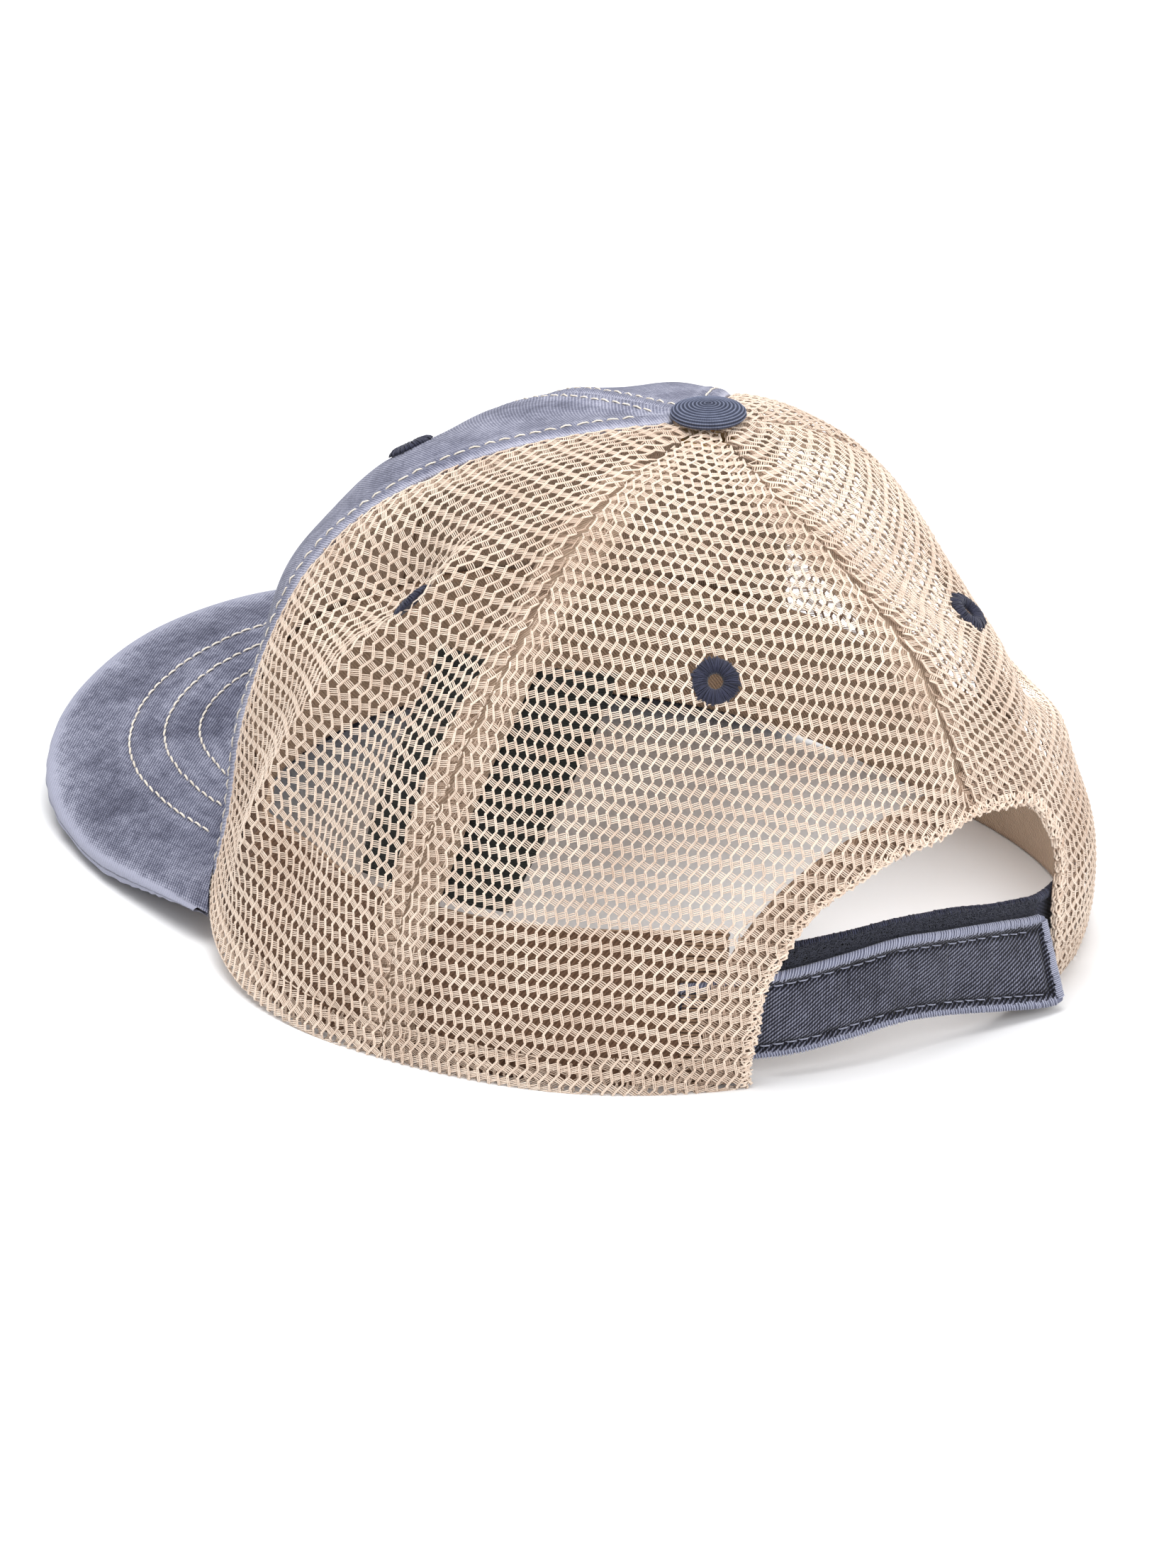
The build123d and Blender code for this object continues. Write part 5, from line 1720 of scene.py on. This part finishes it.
def overcast(rng, start, end, edge, way):
    """Threads wound over the strap's edge at height edge."""
    runs = np.arange(start, end, 0.62)
    n = len(runs)
    reach = np.array([1.55, 0.8, 0.12, -0.08, 0.2, 1.1])
    rise = (edge + way * (reach + rng.normal(0, 0.10, (n, 1)) * END_SCATTER)) / STRAP_WIDE
    run = runs[:, None] + np.linspace(-0.45, 0.75, 6) + rng.normal(0, 0.07, (n, 1))
    depth = np.array([1.05, 0.98, 1.25, 1.85, 2.45, 2.5]) + rng.normal(0, 0.04, (n, 1))
    pts, nrm = place_strap(run, rise, depth)
    return tube(pts, nrm, 0.17, 0.15, tones(rng, n))


def overcast_end(rng):
    """Threads wound over the strap's free end."""
    ups = np.arange(1.6, STRAP_WIDE - 1.4, 0.42)
    n = len(ups)
    reach = np.array([2.2, 1.0, 0.1, -0.15, 0.2, 1.3])
    run = RUN_END - (reach + rng.normal(0, 0.12, (n, 1)) * END_SCATTER)
    rise = (ups[:, None] + np.linspace(-0.2, 0.2, 6)) / STRAP_WIDE
    depth = np.array([1.02, 0.92, 1.25, 1.85, 2.45, 2.5]) + rng.normal(0, 0.04, (n, 1))
    pts, nrm = place_strap(run, rise, depth)
    return tube(pts, nrm, 0.21, 0.17, tones(rng, n))


def make_strap_threads(rng):
    for i, cut in enumerate(STRAP_CUTS):
        start, end, _ = cut
        if i == LAST:
            end = end - 2.0
        sets = [overcast(rng, start, end, 0.0, 1), overcast(rng, start, end, STRAP_WIDE, -1)]
        if i == LAST:
            sets.append(overcast_end(rng))
        # dark stitches lying in the groove
        for up in (GROOVE, STRAP_WIDE - GROOVE):
            run = np.arange(start, end - (0.8 if i == LAST else 0), 0.3)
            pts, nrm = place_strap(run, up / STRAP_WIDE, 1.72)
            verts, faces, tint = stitch_row(pts, nrm, length=2.2, gap=0.5, radius=0.16,
                                            lift=0.12, sides=4, rise=0.05)
            sets.append((verts, faces, tint * 0.2))
        ob = yarn_object("strap_overcast_%d" % (i + 1), sets, MAT["overcast"])
        bend(ob)


def flat_strip(name, cuts, low, high, depths, mat, nodes_of, rough=0.0,
               clip=None, lean=LEAN, stand=0.0):
    """A band behind the strap, from low above the strap's lower edge to high above its upper
    edge, plus stand times STAND."""
    for i, cut in enumerate(cuts):
        start, end, _ = cut
        if clip is not None:
            first, last = max(min(start, end), clip[0]), min(max(start, end), clip[1])
            start, end = (last, first) if start > end else (first, last)
        count = max(int(abs(end - start) / 0.45) + 1, 6)
        run, share = np.meshgrid(np.linspace(start, end, count), np.linspace(0, 1, 28),
                                 indexing="ij")
        top = STRAP_WIDE + high + stand * STAND(x_at(run))
        up = low + (top - low) * share
        bumps = rough * RNG.normal(0, 1, run.shape)
        outer, _ = place_strap(run, up / STRAP_WIDE, depths[0] - bumps, lean)
        inner, _ = place_strap(run, up / STRAP_WIDE, depths[1], lean)
        ob = shell_object("%s_%d" % (name, i + 1), outer, inner, -(run - RUN_ROOT), up, 0.0,
                          mat)
        bend(ob)
        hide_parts(*nodes_of(i))


def make_strips():
    flat_strip("hook_tape", STRAP_CUTS, low=1.5, high=-1.5, depths=(2.39, 2.86),
               mat=MAT["hook"],
               nodes_of=lambda i: ["hook_strip_%d" % (i + 2)],
               clip=(STRAP_JOINTS[1] + 0.2, STRAP_JOINTS[-1] - 1.5))
    flat_strip("loop_tape", UNDER_CUTS, low=0.6, high=-0.6, depths=(3.08, 3.62),
               mat=MAT["loop"],
               nodes_of=lambda i: ["loop_strip_%d" % (i + 2)], rough=0.035, stand=1.0,
               lean=LEAN_UNDER, clip=(UNDER_JOINTS[-1] + 0.2, UNDER_JOINTS[1] - 0.2))
    flat_strip("under_strap_denim", UNDER_CUTS, low=0.0, high=0.1,
               depths=(3.69, 4.45), mat=MAT["under"],
               nodes_of=lambda i: (["under_strap_%d" % (i + 2)]
                                   + (["under_strap_1"] if i == 0 else [])),
               stand=1.0, lean=LEAN_UNDER)


def make_pile(rng):
    """Small curved fibres on the loop tape, most of them near its upper edge."""
    frac = np.array([0, 0.35, 0.7, 1.0])
    for i, cut in enumerate(UNDER_CUTS):
        low, high = sorted(cut[:2])
        high = min(high, UNDER_JOINTS[1] - 0.5)
        low = max(low, UNDER_JOINTS[-1] + 0.5)
        n = int((high - low) * 21 * 5.0)  # five fibres to a square mm of a 21 mm band
        run = rng.uniform(low, high, n)
        stand = STAND(x_at(run))
        near_top = rng.random(n) < 0.7
        top_up = STRAP_WIDE - 1.5 + rng.uniform(0, 1, n) * (stand + 1.3)
        any_up = rng.uniform(1.2, STRAP_WIDE + 2.0, n)
        up = np.where(near_top, top_up, any_up)
        angle = rng.uniform(0, 2 * np.pi, n)
        length = rng.uniform(0.7, 1.9, n)[:, None]
        run = run[:, None] + np.cos(angle)[:, None] * length * frac
        up = up[:, None] + np.sin(angle)[:, None] * length * frac * 0.7
        height = np.array([0.05, 0.55, 0.65, 0.15]) * rng.uniform(0.5, 1.1, (n, 1))
        # pressed flat behind the strap
        height = np.where(up > STRAP_WIDE + 0.5, height, np.minimum(height, 0.18))
        pts, nrm = place_strap(run, up / STRAP_WIDE, 3.08 - height, LEAN_UNDER)
        fibres = tube(pts, nrm, 0.065, 0.065, tones(rng, n, spread=0.4, low=0.1, high=1.9))
        ob = yarn_object("loop_pile_%d" % (i + 1), [fibres], MAT["pile"])
        bend(ob)


def make_under_edge(rng):
    """Navy overcasting over the top edge of the strap behind."""
    for i, cut in enumerate(UNDER_CUTS):
        runs = np.arange(*sorted(cut[:2]), 0.5)
        n = len(runs)
        up = ((STRAP_WIDE + STAND(x_at(runs)))[:, None] + np.array([-1.2, 0.0, 0.35, 0.0, -1.2])
              + rng.normal(0, 0.06, (n, 1)))
        run = runs[:, None] + np.linspace(-0.2, 0.2, 5)
        depth = np.array([3.05, 3.0, 3.7, 4.45, 4.55])
        pts, nrm = place_strap(run, up / STRAP_WIDE, depth, LEAN_UNDER)
        ob = yarn_object("under_strap_edge_%d" % (i + 1),
                         [tube(pts, nrm, 0.2, 0.18, tones(rng, n))], MAT["blue_thread"])
        bend(ob)


# ------------------------------------------------------------------ floor, light and camera
FLOOR_HALF, FLOOR_Z = 6000, -0.4


def make_floor():
    mat = Shader("floor_white").finish(Base_Color=(0.86, 0.86, 0.87, 1), Roughness=0.9,
                                       Specular_IOR_Level=0.1)
    corners = [(x * FLOOR_HALF, y * FLOOR_HALF, FLOOR_Z)
               for x, y in ((-1, -1), (1, -1), (1, 1), (-1, 1))]
    build("studio_floor", corners, [[0, 1, 2, 3]], mat)


def add_aimed(name, data, location, direction):
    """Adds a light or camera that looks along a direction. Metres from here on."""
    ob = bpy.data.objects.new(name, data)
    bpy.context.scene.collection.objects.link(ob)
    ob.location = location
    ob.rotation_mode = "QUATERNION"
    ob.rotation_quaternion = Vector(direction).to_track_quat("-Z", "Y")
    return ob


def area(name, location, aim, size, power, color=(1, 1, 1), size_y=None):
    light = bpy.data.lights.new(name, "AREA")
    light.shape = "RECTANGLE"
    light.size = size
    light.size_y = size_y or size
    light.energy = power
    light.color = color
    return add_aimed(name, light, location, np.array(aim, float) - np.array(location, float))


def make_lights():
    world = bpy.data.worlds.new("studio")
    bpy.context.scene.world = world
    world.use_nodes = True
    background = world.node_tree.nodes["Background"]
    background.inputs["Color"].default_value = (1.0, 1.0, 1.0, 1)
    background.inputs["Strength"].default_value = 0.62
    area("key_softbox", location=(0.35, 1.75, 1.3), aim=(0, 0, 0.05), size=1.3, power=21)
    area("top_softbox", location=(0.1, -0.1, 2.0), aim=(0, 0, 0.05), size=1.5, power=40)
    # a weak soft light inside, standing in for what the thin cloth lets through
    lamp = area("inside_fill", location=(-0.034, 0.05, 0.058), aim=(-0.034, 0.05, 0.0),
                size=0.04, size_y=0.03, power=0.008, color=(0.98, 0.99, 1.0))
    lamp.data.spread = math.radians(110.0)
    lamp.visible_camera = False


def make_camera():
    """Looks at the back from the wearer's left."""
    azim, elevation, distance = math.radians(140.0), math.radians(23.0), 1.4
    back = np.array([math.sin(azim) * math.cos(elevation),
                     -math.cos(azim) * math.cos(elevation), math.sin(elevation)])
    camera = bpy.data.cameras.new("photo_camera")
    camera.sensor_fit = "HORIZONTAL"
    camera.sensor_width = 36
    camera.lens = 205.06
    camera.shift_x = -0.0515
    camera.shift_y = -0.12297
    camera.clip_start = 0.05
    camera.clip_end = 50
    scene = bpy.context.scene
    scene.camera = add_aimed("photo_camera", camera, np.array([0, 0, 0.06]) + distance * back,
                             -back)
    scene.view_settings.view_transform = "Standard"
    scene.view_settings.look = "None"
    scene.view_settings.exposure = 0.0


# The order matters: most pieces draw from the one random sequence.
make_knit_panels()
make_front_panels()
make_front_topstitch()
make_knit_stitches()
make_seam_tapes()
make_arch_tape()
make_arch_edge()
make_sweatband()
make_label()
for panel_index in range(len(EYES)):
    make_eyelet(panel_index)
make_button()
make_bill()
dress_hard_parts()
make_front_hem_stitch()
make_strap()
strap_rng = np.random.default_rng(77)
make_strap_threads(strap_rng)
make_strips()
make_pile(strap_rng)
make_under_edge(strap_rng)
make_floor()
make_lights()
make_camera()
